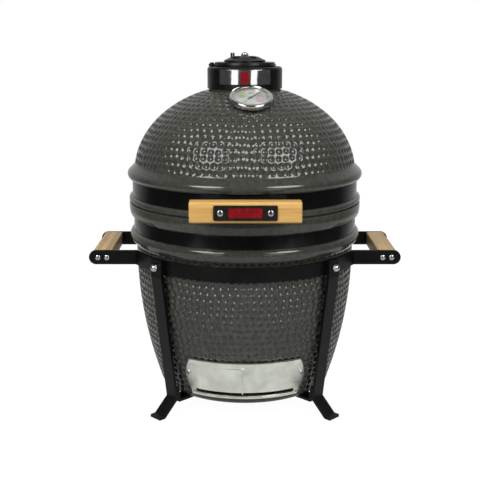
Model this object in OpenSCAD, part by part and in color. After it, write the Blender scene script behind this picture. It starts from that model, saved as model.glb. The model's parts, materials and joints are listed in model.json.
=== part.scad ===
// Mini ceramic kamado grill: hinged dome lid, cast top vent, sliding draft door and flat-bar stand.
// Millimetres. +Z is up, the floor is z = 0, the front is -Y and the Z axis runs through the grill.

/* [Ceramic base] */
// Height of the ceramic's underside above the floor
base_z = 21; // [16:1:40]
// Largest outer radius of the base
body_r = 156; // [140:1:180]
// Radius of the arc that the base's side follows
body_arc_r = 580; // [450:10:900]
// Height from the underside to the smooth bead
body_h = 215.5; // [200:0.5:240]
// Distance from the bead down to the widest level of the side
belly_drop = 21; // [10:1:40]
// Corner radius at the underside
foot_round = 8; // [2:0.5:10]
// Ceramic wall
wall = 20; // [15:0.5:24]
// Thickness of the base's floor
floor_t = 24; // [16:1:30]
// Height of the bead under the base band
bead_h = 12; // [9:0.5:15]
// Reach of the bead beyond the largest radius of the base
bead_out = 8.8; // [6:0.1:11]
// Height over which the bead runs out into the side
bead_run = 19.5; // [16:0.5:21]
// Height of the base's upper lip
base_lip_h = 21.5; // [17:0.5:26]
// Reach of the rim's two lips beyond the groove of the base band
lip_out = 7.6; // [6:0.1:9]
// How far the groove of the base band lies outside the largest radius of the base
base_groove_out = 1.7; // [0.5:0.1:2.5]

/* [Ceramic lid] */
// How much wider the dome is than the base
dome_over = 1.5; // [0:0.5:4]
// Rise of the dome's outer ellipse
dome_rise = 122.5; // [105:0.5:150]
// Height of the lid's lower lip
lid_lip_h = 7.6; // [6:0.2:12]
// How far the lid's groove lies outside the dome's largest radius
lid_groove_out = 1.2; // [0.5:0.1:3]
// Height from the lid band to the dome's widest level
flange_rise = 7.5; // [6:0.5:14]
// Radius of the flange's round nose
flange_nose_r = 7.5; // [5:0.5:9]
// Reach of the flange beyond the dome's largest radius
flange_out = 9.5; // [8:0.5:14]
// Height from the dome's widest level to where the flange runs out
flange_run = 17; // [14:0.5:24]
// Radius of the chimney hole
chimney_r = 36; // [28:0.5:38]
// Depth of the cut that flattens the top of the dome
crown_cut = 6.5; // [5:0.5:9]

/* [Seals and bands] */
// Thickness of each felt rim gasket
gasket_t = 1.2; // [1:0.1:3]
// How far the rim gaskets lie inside the lips
gasket_in = 5; // [2:0.5:8]
// Width of the rim gaskets
gasket_w = 15; // [10:0.5:18]
// Width of the base band
base_band_w = 17.5; // [15:0.5:26]
// Width of the lid band
lid_band_w = 22.5; // [15:0.5:26]
// Thickness of the bands
band_t = 1.8; // [1.2:0.1:2.5]
// Gap between the ends of a band at the rear
band_gap = 6; // [3:0.5:12]

/* [Hinge] */
// Distance of the hinge pin behind the lid's lip
hinge_out = 27.5; // [25:0.5:36]
// Radius of the hinge pin
pin_r = 4; // [3:0.1:5]
// Radial clearance of everything that turns on a pin
run_clear = 0.05; // [0.02:0.01:0.1]
// Thickness of the hinge ears
ear_t = 4; // [3:0.5:5]
// Width over the lid's ears
lid_ear_span = 68; // [60:1:90]
// Side gap between a lid ear and a base ear
ear_gap = 2; // [0.5:0.5:4]
// Radius of an ear round the pin
ear_r = 8.5; // [7.5:0.5:9]
// Width of an ear's arm
ear_arm_w = 14; // [10:0.5:15]
// Thickness of the hinge plates
plate_t = 3; // [2:0.5:4]
// Half angle of the hinge plates
plate_half = 19; // [18:0.5:24]
// Wire diameter of the springs
spring_d = 2.4; // [1.6:0.1:3]
// Mean radius of a spring's curls
spring_r = 8; // [7:0.1:9]
// Whole curls in each spring
spring_turns = 5; // [3:1:6]
// Space between neighbouring curls
spring_space = 0.8; // [0.6:0.1:1]
// Thickness of the shelves that the springs press on
shelf_t = 3; // [2:0.5:4]

/* [Lid handle] */
// Length of the wooden bar
handle_w = 139.5; // [110:0.5:180]
// Height of the wooden bar
handle_h = 26.5; // [24:0.5:34]
// Depth of the wooden bar
handle_d = 22; // [16:1:30]
// How far the bar hangs below the middle of the lid band
handle_drop = 3; // [0:0.5:4]
// Gap between the lid band and the bar
handle_gap = 20; // [16:1:32]
// Edge radius of the bar
handle_round = 4; // [2:0.5:7]
// Distance between the two handle screws
handle_screw_gap = 62; // [40:1:70]
// Radius of the two posts
post_r = 6; // [4:0.5:8]
// Length of the front plate
badge_w = 79; // [76:1:100]
// Height of the front plate
badge_h = 19; // [14:1:22]
// Thickness of the front plate
badge_t = 1.5; // [1:0.1:3]
// Length of the plain colour field
field_w = 42; // [20:1:44]
// Height of the plain colour field
field_h = 12; // [8:1:13]

/* [Top vent] */
// Outer radius of the cast cap
cap_r = 52.5; // [51:0.5:56]
// Height of the cap
cap_h = 30; // [24:1:40]
// Wall of the cap
cap_wall = 5; // [3:0.5:7]
// Thickness of the cap's top and bottom
cap_plate = 5.5; // [4:0.5:7]
// Thickness of the seal under the cap
cap_seal_t = 1.7; // [1:0.1:3]
// Radius of the swing cover
cover_r = 43.5; // [41:0.5:44]
// Thickness of the swing cover
cover_t = 5.5; // [4:0.5:8]
// Distance of the cover's pivot from the axis
pivot_x = 46; // [45:0.5:47]
// Radius of the pivot screw
pivot_r = 2.5; // [2:0.1:3]
// Radius of the daisy wheel
wheel_r = 29; // [27:0.5:32]
// Height of the daisy wheel
wheel_h = 8; // [6:0.5:11]
// Radius of a vent window
window_r = 6; // [4:0.5:7]
// Radius at which the windows lie
window_at = 18.5; // [17:0.5:19.5]
// Number of vent windows
window_count = 5; // [4:1:5]
// Radius of the centre bolt
bolt_r = 3; // [2:0.1:4]
// Height of the vent's front plate
crest_h = 19.5; // [14:0.5:22]
// Half angle of the vent's front plate
crest_half = 40; // [25:1:60]
// Thickness of the vent's front plate
crest_t = 1; // [0.6:0.1:2]

/* [Thermometer] */
// Distance of the thermometer from the grill's axis
therm_at = 80; // [80:0.5:95]
// Turn of the thermometer to the right of the middle
therm_turn = 5.6; // [0:0.1:12]
// Outer radius of the bezel
therm_r = 29; // [22:0.5:31]
// Depth of the case
therm_d = 5.6; // [5:0.1:9]
// Radius of the stem
stem_r = 3; // [2:0.1:4]
// Length of the stem below the case
stem_l = 62; // [55:1:90]

/* [Draft vent] */
// Height of the vent's lower edge above the ceramic's underside
draft_z = 11.5; // [9:0.5:14]
// Height of the vent frame
draft_h = 56; // [50:1:66]
// Half width of the vent frame where it is widest
draft_reach = 81.5; // [76:0.5:84]
// Radius of the frame's round ends, seen from the front
draft_end_r = 54.5; // [48:0.5:80]
// How far the frame's screws sit in from its round ends
draft_screw_in = 4.6; // [3.1:0.1:9.6]
// Height of the frame's screws above its lower edge
draft_screw_up = 33; // [25:0.2:40]
// Sheet thickness of the frame and the door
sheet_t = 1.5; // [1:0.1:2]
// Width of the rails that hold the door
rail_w = 8; // [6:0.5:9]
// Angle of the draft window
window_ang = 23; // [16:1:24]
// Angle by which the door overlaps the window at each side
door_lap = 2.5; // [1.5:0.5:3]
// Clearance round the sliding door
slide_clear = 0.35; // [0.3:0.05:0.5]

/* [Fire parts] */
// Gap round the fire box and the fire ring
fire_gap = 4; // [3:0.5:7]
// Wall of the fire box and the fire ring
fire_wall = 14; // [10:0.5:18]
// Height of the fire box
fire_box_h = 139; // [120:1:150]
// Height of the fire box's floor above the base's floor
fire_floor_h = 42; // [41:1:50]
// Height of the fire ring
fire_ring_h = 72; // [60:1:74]
// Radius of the charcoal grate
coal_grate_r = 62; // [50:1:72]
// Wire diameter of the cooking grate
grate_d = 5; // [4:0.5:7]
// Distance between the cooking grate's rods
grate_pitch = 15; // [12:0.5:22]
// Gap between the cooking grate and the base's wall
grate_gap = 5; // [3:0.5:8]

/* [Stand] */
// Width of the flat bars
bar_w = 20; // [16:1:26]
// Thickness of the legs
leg_t = 4; // [3:0.5:5]
// Distance from the bead down to the middle of the arcs and the side handles
ring_drop = 21.5; // [18:0.5:40]
// Gap between the ceramic and the arcs
arc_gap = 2.4; // [2:0.1:4]
// Thickness of the arcs
arc_t = 2.5; // [2:0.1:4]
// How far a leg leans in from top to bottom
leg_lean = 23; // [10:1:30]
// Reach of a foot outside the leg's bend
foot_out = 23; // [16:1:40]
// Length of the flat pad at the end of a foot
pad_l = 9; // [6:1:16]
// Radius of the leg bolts
leg_bolt_r = 3; // [2:0.1:4]

/* [Side handles] */
// Distance of a wooden bar's middle from the largest radius of the base
side_out = 43; // [40:1:60]
// Width of a wooden bar
side_w = 26; // [20:1:32]
// Half distance between the arms' middles
arm_y = 61; // [56:0.5:70]
// Thickness of the arms
arm_t = 3.5; // [3:0.1:5]
// Edge radius of a wooden bar
side_round = 3; // [1:0.5:6]
// Distance between the two screws in an arm
side_screw_gap = 12.5; // [10:0.5:14]
// Radius of the wood screws
screw_r = 2; // [1.5:0.1:2.4]

/* [Hidden] */
$fn = 64;
// Room left for a cut to pass through a face
cut = 1;
// Gap between pieces that are fastened together without touching all over
seat = 0.2;

// Heights, from the floor up
bead_z = base_z + body_h;
base_band_z = bead_z + bead_h;
base_lip_z = base_band_z + base_band_w;
rim_z = base_lip_z + base_lip_h;
lid_z = rim_z + 2 * gasket_t;
lid_band_z = lid_z + lid_lip_h;
flange_z = lid_band_z + lid_band_w;
dome_z = flange_z + flange_rise;
crown_z = dome_z + dome_rise - crown_cut;
cap_z = crown_z + cap_seal_t;
cap_top = cap_z + cap_h;
belly_z = bead_z - belly_drop;
ring_z = bead_z - ring_drop;
hearth_z = base_z + floor_t;

// Radii
base_groove_r = body_r + base_groove_out;
dome_r = body_r + dome_over;
lid_groove_r = dome_r + lid_groove_out;
base_band_out = base_groove_r + band_t;
lid_band_out = lid_groove_r + band_t;
lip_r = base_groove_r + lip_out;
base_in_r = body_r - wall;
lid_in_r = dome_r - wall;
gasket_out = lip_r - gasket_in;

// Radius of the base's side at a height
function side_r(z) = body_r - body_arc_r
    + sqrt(pow(body_arc_r, 2) - pow(max(0, belly_z - z), 2));
// Radius and height of the dome's outer ellipse, and the tilt of its normal from the vertical
function dome_radius(z) = dome_r * sqrt(1 - pow((z - dome_z) / dome_rise, 2));
function dome_height(r) = dome_z + dome_rise * sqrt(1 - pow(r / dome_r, 2));
function dome_tilt(r) =
    atan2(r / pow(dome_r, 2), (dome_height(r) - dome_z) / pow(dome_rise, 2));
// Points along an arc
function arc(cx, cy, r, from, to, steps) = [for (i = [0 : steps])
    let (a = from + (to - from) * i / steps) [cx + r * cos(a), cy + r * sin(a)]];
// Points along a curve from p to s that starts towards q and arrives from r
function curve(p, q, r, s, steps) = [for (i = [1 : steps]) let (t = i / steps, u = 1 - t)
    u * u * u * p + 3 * u * u * t * q + 3 * u * t * t * r + t * t * t * s];

// A flat bar of thickness t, bent at each inner point of a path
module bent_bar(path, t) {
    for (i = [0 : len(path) - 2]) {
        along = (path[i + 1] - path[i]) / norm(path[i + 1] - path[i]);
        side = [-along[1], along[0]] * t / 2;
        polygon([path[i] - side, path[i + 1] - side, path[i + 1] + side, path[i] + side]);
    }
    for (i = [1 : 1 : len(path) - 2]) translate(path[i]) circle(d = t);
}

// A rectangle with round corners, centred
module round_rect(w, h, r) {
    square([w - 2 * r, h], center = true);
    square([w, h - 2 * r], center = true);
    for (x = [-1, 1], y = [-1, 1])
        translate([x * (w / 2 - r), y * (h / 2 - r)]) circle(r = r);
}

// A slice of a ring, centred on the front, or turned by turn degrees
module ring_slice(half, turn = 0) {
    rotate([0, 0, -90 - half + turn]) rotate_extrude(angle = 2 * half) children();
}

// A round-headed fastener along +Z: the head's seat is z = 0 and the shank points down
module rivet(shank_r, shank_l, head_r, head_h) {
    translate([0, 0, -shank_l]) cylinder(r = shank_r, h = shank_l + head_h / 2);
    cylinder(r = head_r, h = head_h / 2);
    translate([0, 0, head_h / 2]) cylinder(r1 = head_r, r2 = head_r * 0.6, h = head_h / 2);
}

// Places children with +Z pointing out of a ring at an angle from the rear
module at_rear(angle, r, z) {
    rotate([0, 0, angle]) translate([0, r, z]) rotate([-90, 0, 0]) children();
}

// Ceramic base and what lies inside it

side_z = base_z + foot_round;
bead_r = body_r + bead_out;
bead_mid_z = base_band_z - 0.62 * bead_h;
bead_foot_z = max(belly_z, bead_mid_z - bead_run);
lip_mid_z = base_lip_z + 0.7 * base_lip_h;
lip_edge = 1.5;
base_outline = concat(
    [[0, base_z], [side_r(side_z) - foot_round, base_z]],
    arc(side_r(side_z) - foot_round, side_z, foot_round, -60, 0, 4),
    [for (i = [1 : 12]) let (z = side_z + (belly_z - side_z) * i / 12) [side_r(z), z]],
    [[body_r, bead_foot_z]],
    curve([body_r, bead_foot_z], [body_r, bead_foot_z + 9], [bead_r, bead_mid_z - 9],
        [bead_r, bead_mid_z], 8),
    curve([bead_r, bead_mid_z], [bead_r, base_band_z - 2.5], [base_groove_r + 4, base_band_z],
        [base_groove_r, base_band_z], 6),
    [[base_groove_r, base_lip_z]],
    curve([base_groove_r, base_lip_z], [base_groove_r + 5.5, base_lip_z + 0.5], [lip_r, lip_mid_z - 7],
        [lip_r, lip_mid_z], 8),
    arc(lip_r - lip_edge, rim_z - lip_edge, lip_edge, 0, 90, 3),
    [[base_in_r, rim_z]],
    [for (i = [6 : -1 : 0]) let (z = hearth_z + (belly_z - hearth_z) * i / 6) [side_r(z) - wall, z]],
    [[0, hearth_z]]);

// Draft window and door, as angles from the front, positive to the right
window_mid = -window_ang / 2 - door_lap - 1;
rail_z = base_z + draft_z;
window_z = rail_z + rail_w + 3;
window_h = draft_h - 2 * rail_w - 6;
fire_foot_h = window_z + window_h - hearth_z + 2;

module base_shell() {
    color("#4b4d46") difference() {
        rotate_extrude($fn = 96) polygon(base_outline);
        ring_slice(window_ang / 2, window_mid)
            translate([base_in_r / 2, window_z]) square([body_r, window_h]);
        for (s = [-1, 1]) draft_screw_place(s)
            translate([0, 0, -draft_screw_l - cut])
                cylinder(r = screw_r + run_clear, h = draft_screw_l + 2 * cut);
    }
}

fire_top_z = hearth_z + fire_box_h;
fire_foot_r = side_r(hearth_z) - wall - fire_gap;
fire_top_r = side_r(min(fire_top_z, belly_z)) - wall - fire_gap;
fire_floor_z = hearth_z + max(fire_floor_h, fire_foot_h + 2);
coal_ledge = 6;
coal_grate_t = 6;

module fire_box() {
    floor_r = fire_foot_r - fire_wall;
    color("#b9a58c") difference() {
        rotate_extrude($fn = 96) difference() {
            polygon([[0, hearth_z], [fire_foot_r, hearth_z], [fire_top_r, fire_top_z], [0, fire_top_z]]);
            polygon([[0, hearth_z - cut], [floor_r, hearth_z - cut], [floor_r, fire_floor_z],
                [0, fire_floor_z]]);
            polygon([[0, fire_floor_z + fire_wall], [floor_r, fire_floor_z + fire_wall],
                [fire_top_r - fire_wall, fire_top_z + cut], [0, fire_top_z + cut]]);
        }
        translate([0, 0, fire_floor_z - cut])
            cylinder(r = coal_grate_r - coal_ledge, h = fire_wall + 2 * cut);
        translate([0, 0, fire_floor_z + fire_wall - coal_grate_t])
            cylinder(r = coal_grate_r + 1, h = coal_grate_t + cut);
        for (turn = [0 : 120 : 240]) ring_slice(36, turn)
            translate([floor_r - cut, hearth_z - cut])
                square([body_r, fire_foot_h + cut]);
    }
}

module charcoal_grate() {
    slot_w = 7;
    slot_pitch = 14;
    grate_z = fire_floor_z + fire_wall - coal_grate_t;
    rows = floor((coal_grate_r - coal_ledge - slot_w) / slot_pitch);
    color("#2e2e2e") translate([0, 0, grate_z]) difference() {
        cylinder(r = coal_grate_r, h = coal_grate_t);
        for (i = [-rows : rows]) {
            reach = sqrt(pow(coal_grate_r - coal_ledge - 2, 2) - pow(abs(i) * slot_pitch + slot_w / 2, 2));
            for (s = [-1, 1]) translate([s * (reach + 4) / 2, i * slot_pitch, coal_grate_t / 2])
                cube([reach - 4, slot_w, coal_grate_t + 2 * cut], center = true);
        }
    }
}

fire_ring_r = min(fire_top_r, base_in_r - fire_gap);
fire_ring_top = fire_top_z + fire_ring_h;

module fire_ring() {
    color("#b9a58c") translate([0, 0, fire_top_z]) difference() {
        cylinder(r = fire_ring_r, h = fire_ring_h, $fn = 96);
        translate([0, 0, -cut])
            cylinder(r = fire_top_r - fire_wall, h = fire_ring_h + 2 * cut, $fn = 96);
    }
}

grate_r = base_in_r - grate_gap - grate_d / 2;
grate_z = fire_ring_top + grate_d / 2 + 0.1;

module cooking_grate() {
    rows = floor((grate_r - grate_d) / grate_pitch);
    color("#b8b8b6") translate([0, 0, grate_z]) {
        rotate_extrude($fn = 96) translate([grate_r, 0]) circle(d = grate_d);
        for (i = [-rows : rows]) {
            half = sqrt(pow(grate_r, 2) - pow(i * grate_pitch, 2));
            translate([i * grate_pitch, 0, 0]) rotate([90, 0, 0])
                cylinder(d = grate_d, h = 2 * half, center = true);
        }
        rotate([0, 90, 0]) cylinder(d = grate_d, h = 2 * grate_r, center = true);
    }
}

module rim_gasket(z) {
    translate([0, 0, z]) difference() {
        cylinder(r = gasket_out, h = gasket_t, $fn = 96);
        translate([0, 0, -cut]) cylinder(r = gasket_out - gasket_w, h = gasket_t + 2 * cut, $fn = 96);
    }
}

module base_gasket() {
    color("#34342f") rim_gasket(rim_z);
}

// A strap that is open at the rear, with two holes for rivets at each end
module strap(r, z, w) {
    half_gap = asin(band_gap / 2 / r);
    difference() {
        ring_slice(180 - half_gap) translate([r, z]) square([band_t, w]);
        for (a = rivet_angles) at_rear(a, r - cut, z + w / 2)
            cylinder(r = rivet_r + run_clear, h = band_t + 2 * cut);
    }
}

module base_band() {
    color("#191919") strap(base_groove_r, base_band_z, base_band_w);
}

// Hinge at the rear

hinge_y = lip_r + hinge_out;
hinge_z = lid_z - 0.5;
rivet_r = 2.5;
rivet_head_r = 4;
rivet_head_h = 2.4;
rivet_angles = [-plate_half * 0.4, plate_half * 0.4];
plate_margin = 1;
lid_ear_x = lid_ear_span / 2 - ear_t;
base_ear_x = lid_ear_span / 2 + ear_gap;
pin_half = base_ear_x + ear_t;

// One ear in the plane of the hinge: an arm from the plate at (y, z) to the pin
module ear_shape(y, z, w) {
    arm = [[y, z], [hinge_y, hinge_z]];
    translate([y - 4, z - w / 2]) square([10, w]);
    bent_bar([arm[0] + [2, 0], arm[1]], ear_arm_w);
    translate(arm[1]) circle(r = ear_r);
}

// A pair of ears standing on a curved plate, with the spring shelf between them
module hinge_bracket(r, z, w, ear_x, shelf_z) {
    plate_w = w - 2 * plate_margin;
    ear_y = sqrt(pow(r + plate_t / 2, 2) - pow(ear_x + ear_t / 2, 2));
    difference() {
        union() {
            rotate([0, 0, 180]) ring_slice(plate_half)
                translate([r, z + plate_margin]) square([plate_t, plate_w]);
            difference() {
                for (s = [-1, 1]) translate([s * (ear_x + ear_t / 2) - ear_t / 2, 0, 0])
                    rotate([90, 0, 90]) linear_extrude(ear_t) ear_shape(ear_y, z + w / 2, plate_w);
                translate([0, 0, z]) cylinder(r = r + plate_t / 2, h = w, $fn = 96);
            }
            translate([-ear_x - cut, hinge_y - shelf_reach, shelf_z])
                cube([2 * (ear_x + cut), shelf_d, shelf_t]);
        }
        rotate([0, 90, 0]) translate([-hinge_z, hinge_y, 0])
            cylinder(r = pin_r + run_clear, h = 3 * pin_half, center = true);
        for (a = rivet_angles) at_rear(a, r - cut, z + w / 2)
            cylinder(r = rivet_r + run_clear, h = plate_t + 2 * cut);
    }
}

spring_clear = 0.3;
shelf_reach = hinge_out - 3.5;
shelf_d = shelf_reach - 6;
leg_drop = spring_r + spring_d / 2 + spring_clear;
base_shelf_z = hinge_z - leg_drop - shelf_t;
lid_shelf_z = hinge_z + leg_drop;

module base_hinge_bracket() {
    color("#191919") hinge_bracket(base_band_out, base_band_z, base_band_w, base_ear_x, base_shelf_z);
}

module plate_rivets(r, z) {
    for (a = rivet_angles) at_rear(a, r + plate_t, z)
        rivet(rivet_r, plate_t + band_t, rivet_head_r, rivet_head_h);
}

module base_rivets() {
    color("#2a2a2a") plate_rivets(base_band_out, base_band_z + base_band_w / 2);
}

module hinge_pin() {
    head_r = pin_r + 2.5;
    head_t = 2.5;
    color("#8c8c8a") translate([0, hinge_y, hinge_z]) rotate([0, 90, 0]) {
        cylinder(r = pin_r, h = 2 * (pin_half + head_t), center = true);
        for (s = [-1, 1]) translate([0, 0, s * (pin_half + head_t / 2)])
            cylinder(r = head_r, h = head_t, center = true);
    }
}

// Two torsion springs: a leg on the base's shelf, the curls round the pin, a leg under the lid's shelf
curl_steps = 8;
wire_sides = 6;
spring_pitch = spring_d + spring_space;
spring_from = 3;
leg_l = shelf_reach - 4;
spring_steps = (spring_turns + 0.5) * curl_steps;
spring_path = concat(
    [[spring_from, hinge_y - leg_l, hinge_z - spring_r]],
    [for (i = [0 : spring_steps]) let (a = -90 + 360 * i / curl_steps)
        [spring_from + spring_pitch * i / curl_steps,
            hinge_y + spring_r * cos(a), hinge_z + spring_r * sin(a)]],
    [[spring_from + spring_pitch * spring_steps / curl_steps,
        hinge_y - leg_l, hinge_z + spring_r]]);
spring_gap = min([for (i = [1 : len(spring_path) - 2], j = [1 : len(spring_path) - 2])
    if (j - i >= curl_steps / 2) norm(spring_path[j] - spring_path[i])]) - spring_d;
echo(least_gap_of_a_spring_to_itself = spring_gap);

function unit(v) = v / norm(v);
function wire_dir(p, i) = unit(p[min(i + 1, len(p) - 1)] - p[max(i - 1, 0)]);
// A ring of points round a wire that winds about an axis along X
function wire_ring(p, i, r) = let (t = wire_dir(p, i), n = unit(cross(t, [1, 0, 0])), b = cross(t, n))
    [for (k = [0 : wire_sides - 1]) let (a = 360 * k / wire_sides) p[i] + r * (cos(a) * n + sin(a) * b)];

module wire(p, r) {
    last = len(p) - 1;
    s = wire_sides;
    polyhedron([for (i = [0 : last]) each wire_ring(p, i, r)],
        concat(
            [for (i = [0 : last - 1], k = [0 : s - 1]) [i * s + k, i * s + (k + 1) % s, (i + 1) * s + k]],
            [for (i = [0 : last - 1], k = [0 : s - 1])
                [i * s + (k + 1) % s, (i + 1) * s + (k + 1) % s, (i + 1) * s + k]],
            [for (k = [1 : s - 2]) [0, k + 1, k]],
            [for (k = [1 : s - 2]) [last * s, last * s + k, last * s + k + 1]]));
}

module hinge_springs() {
    color("#6e6e6c") for (s = [0, 1]) mirror([s, 0, 0]) wire(spring_path, spring_d / 2);
}

// Draft vent

rail_top_z = rail_z + draft_h;
// How far the base's side bulges past a straight cone over the height of the vent
vent_bulge = body_arc_r - sqrt(pow(body_arc_r, 2) - pow(draft_h / 2, 2));
vent_foot_r = side_r(rail_z) + vent_bulge;
vent_slope = (side_r(rail_top_z) - side_r(rail_z)) / draft_h;
// Radius of the cone that the vent's sheets are rolled to
function vent_r(z) = vent_foot_r + (z - rail_z) * vent_slope;

// A section point of the vent at an offset from that cone
function vent_pt(offset, z) = [vent_r(z) + offset, z];

// A slice of rolled sheet between two heights and two offsets from the cone
module rolled_sheet(z0, z1, inner, outer, half, turn = 0) {
    ring_slice(half, turn)
        polygon([vent_pt(outer, z0), vent_pt(outer, z1), vent_pt(inner, z1), vent_pt(inner, z0)]);
}

sheet_out = seat + sheet_t;
door_in = sheet_out + slide_clear;
door_out = door_in + sheet_t;
rail_out = door_out + slide_clear + sheet_t;
rail_lip = 3;
door_z0 = rail_z + rail_w - rail_lip;
door_z1 = rail_top_z - rail_w + rail_lip;
door_half = window_ang / 2 + door_lap;
draft_half = asin(draft_reach / vent_r(rail_z + draft_h / 2)) + 1;
draft_screw_l = 12;
draft_screw_z = rail_z + draft_screw_up;
// Angle of the frame's screws from the front, to a tenth of a degree
draft_screw_sin = (draft_reach - draft_screw_in) / (vent_r(draft_screw_z) + sheet_out);
draft_screw_at = round(10 * asin(draft_screw_sin)) / 10;
draft_head_r = 3.4;
draft_head_h = 2.2;

// Places children with +Z pointing out of the vent's sheet at a frame screw
module draft_screw_place(s) {
    rotate([0, 0, s * draft_screw_at]) translate([0, -vent_r(draft_screw_z) - sheet_out, draft_screw_z])
        rotate([90 + atan(vent_slope), 0, 0]) children();
}

// Front view of the frame: straight along its rails and round at its ends
module draft_outline() {
    end_x = draft_reach - draft_end_r;
    translate([0, rail_z + 0.55 * draft_h]) {
        square([2 * end_x, 2 * draft_h], center = true);
        for (s = [-1, 1]) translate([s * end_x, 0]) circle(r = draft_end_r);
    }
}

// Frame: a sheet with a rail folded over the door along its top and its bottom
module draft_frame() {
    low = door_z0 - slide_clear;
    high = door_z1 + slide_clear;
    lip_in = door_out + slide_clear;
    color("#c9c9c6") difference() {
        intersection() {
            ring_slice(draft_half) polygon([vent_pt(seat, rail_z), vent_pt(rail_out, rail_z),
                vent_pt(rail_out, door_z0 + rail_lip), vent_pt(lip_in, door_z0 + rail_lip),
                vent_pt(lip_in, low), vent_pt(sheet_out, low), vent_pt(sheet_out, high),
                vent_pt(lip_in, high), vent_pt(lip_in, door_z1 - rail_lip),
                vent_pt(rail_out, door_z1 - rail_lip), vent_pt(rail_out, rail_top_z),
                vent_pt(seat, rail_top_z)]);
            rotate([90, 0, 0]) linear_extrude(1.2 * body_r) draft_outline();
        }
        ring_slice(window_ang / 2, window_mid)
            translate([base_in_r / 2, window_z]) square([body_r, window_h]);
        for (s = [-1, 1]) draft_screw_place(s) translate([0, 0, -sheet_t - 2 * cut])
            cylinder(r = screw_r + run_clear, h = sheet_t + 3 * cut);
    }
}

module draft_screws() {
    color("#a8a8a6") for (s = [-1, 1]) draft_screw_place(s)
        rivet(screw_r, draft_screw_l, draft_head_r, draft_head_h);
}

module draft_door() {
    lip_ang = 0.9;
    finger_out = 6;
    lip_room = rail_lip + 1;
    color("#d2d2cf") {
        rolled_sheet(door_z0, door_z1, door_in, door_out, door_half, window_mid);
        rolled_sheet(door_z0 + lip_room, door_z1 - lip_room, door_in, door_out + finger_out,
            lip_ang / 2, window_mid + door_half - lip_ang / 2);
    }
}

// Stand

arc_in = body_r + arc_gap;
arm_u = arc_in + arc_t + arm_t / 2;
leg_u = arm_u + arm_t / 2 + leg_t / 2;
arc_half = 49;
leg_top_z = ring_z + bar_w / 2 + 0.5;
leg_bend_z = base_z + leg_t / 2;
// A leg from its top to its pad, in the plane through the grill's axis
leg_path = [[leg_u, leg_top_z], [leg_u, ring_z - bar_w / 2 - 4],
    [leg_u - leg_lean, leg_bend_z], [leg_u - leg_lean + foot_out, leg_t / 2],
    [leg_u - leg_lean + foot_out + pad_l, leg_t / 2]];
corners = [[-1, -1], [1, -1], [-1, 1], [1, 1]];

// Places children at a corner of the stand, with +X pointing away from the grill's axis
module at_corner(c) {
    rotate([0, 0, atan2(c[1], c[0])]) children();
}

module bolt_hole(z, from, to) {
    translate([from, 0, z]) rotate([0, 90, 0])
        cylinder(r = leg_bolt_r + run_clear, h = to - from);
}

module stand_arc() {
    color("#191918") difference() {
        ring_slice(arc_half) translate([arc_in, ring_z - bar_w / 2]) square([arc_t, bar_w]);
        for (c = [corners[0], corners[1]]) at_corner(c)
            bolt_hole(ring_z, arc_in - cut, arc_in + arc_t + cut);
    }
}

module front_arc() {
    stand_arc();
}

module rear_arc() {
    rotate([0, 0, 180]) stand_arc();
}

// Two crossed bars under the ceramic, with ends turned up along the legs
module cross_brace() {
    foot = leg_path[2];
    along = unit(leg_path[1] - foot);
    inward = [-along[1], along[0]] * (leg_t + seat);
    level = base_z - leg_t / 2;
    tab = foot + inward;
    low = tab + along * (level - tab[1]) / along[1];
    half = [[-cut, level], [low[0], level], tab + along * bar_w * 0.8];
    color("#191918") for (c = corners) at_corner(c)
        translate([0, bar_w / 2, 0]) rotate([90, 0, 0]) linear_extrude(bar_w) bent_bar(half, leg_t);
}

module leg(c) {
    color("#1b1b1a") at_corner(c) difference() {
        translate([0, bar_w / 2, 0]) rotate([90, 0, 0]) linear_extrude(bar_w) bent_bar(leg_path, leg_t);
        bolt_hole(ring_z, leg_u - leg_t, leg_u + leg_t);
    }
}

module leg_front_left() {
    leg(corners[0]);
}

module leg_front_right() {
    leg(corners[1]);
}

module leg_rear_left() {
    leg(corners[2]);
}

module leg_rear_right() {
    leg(corners[3]);
}

nut_h = 4;
nut_r = leg_bolt_r * 1.9;
dome_h = 4;
leg_face = leg_u + leg_t / 2;

module leg_bolts() {
    head_h = 1.4;
    head_r = leg_bolt_r + 2;
    head_x = sqrt(pow(arc_in, 2) - pow(head_r, 2));
    color("#b4b4b2") for (c = corners) at_corner(c) translate([head_x, 0, ring_z]) rotate([0, 90, 0]) {
        cylinder(r = leg_bolt_r, h = leg_face - head_x + nut_h);
        translate([0, 0, -head_h]) cylinder(r = head_r, h = head_h);
    }
}

// A hexagon nut with a domed end, standing on z = 0
module dome_nut(bore_r, r, h, dome) {
    difference() {
        union() {
            cylinder(r = r, h = h, $fn = 6);
            translate([0, 0, h - cut]) cylinder(r1 = r * 0.82, r2 = r * 0.45, h = dome + cut);
        }
        translate([0, 0, -cut]) cylinder(r = bore_r + run_clear, h = h + cut);
    }
}

module leg_dome_nuts() {
    color("#b4b4b2") for (c = corners) at_corner(c)
        translate([leg_face, 0, ring_z]) rotate([0, 90, 0]) dome_nut(leg_bolt_r, nut_r, nut_h, dome_h);
}

// Side handles

side_x = body_r + side_out;
arm_tab = 12;
arm_dip = 1.6;
// An arm's path seen from above in the quarter where X and Y are positive
arm_bend = [arm_u / sqrt(2) + arm_tab / sqrt(2), arm_u / sqrt(2) - arm_tab / sqrt(2)];
arm_turn = atan2(arm_bend[1], arm_bend[0]) - acos((arm_u - arm_dip) / norm(arm_bend));
arm_corner = [(arm_u - arm_dip - arm_y * sin(arm_turn)) / cos(arm_turn), arm_y];
arm_path = [[arm_u / sqrt(2) - 10 / sqrt(2), arm_u / sqrt(2) + 10 / sqrt(2)],
    arm_bend, arm_corner, [side_x + side_w / 2 - 4, arm_y]];
screw_xs = [side_x - side_screw_gap / 2, side_x + side_screw_gap / 2];
side_screw_l = 22;
wood_head_r = 3.8;
side_head_h = 2.6;

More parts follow.
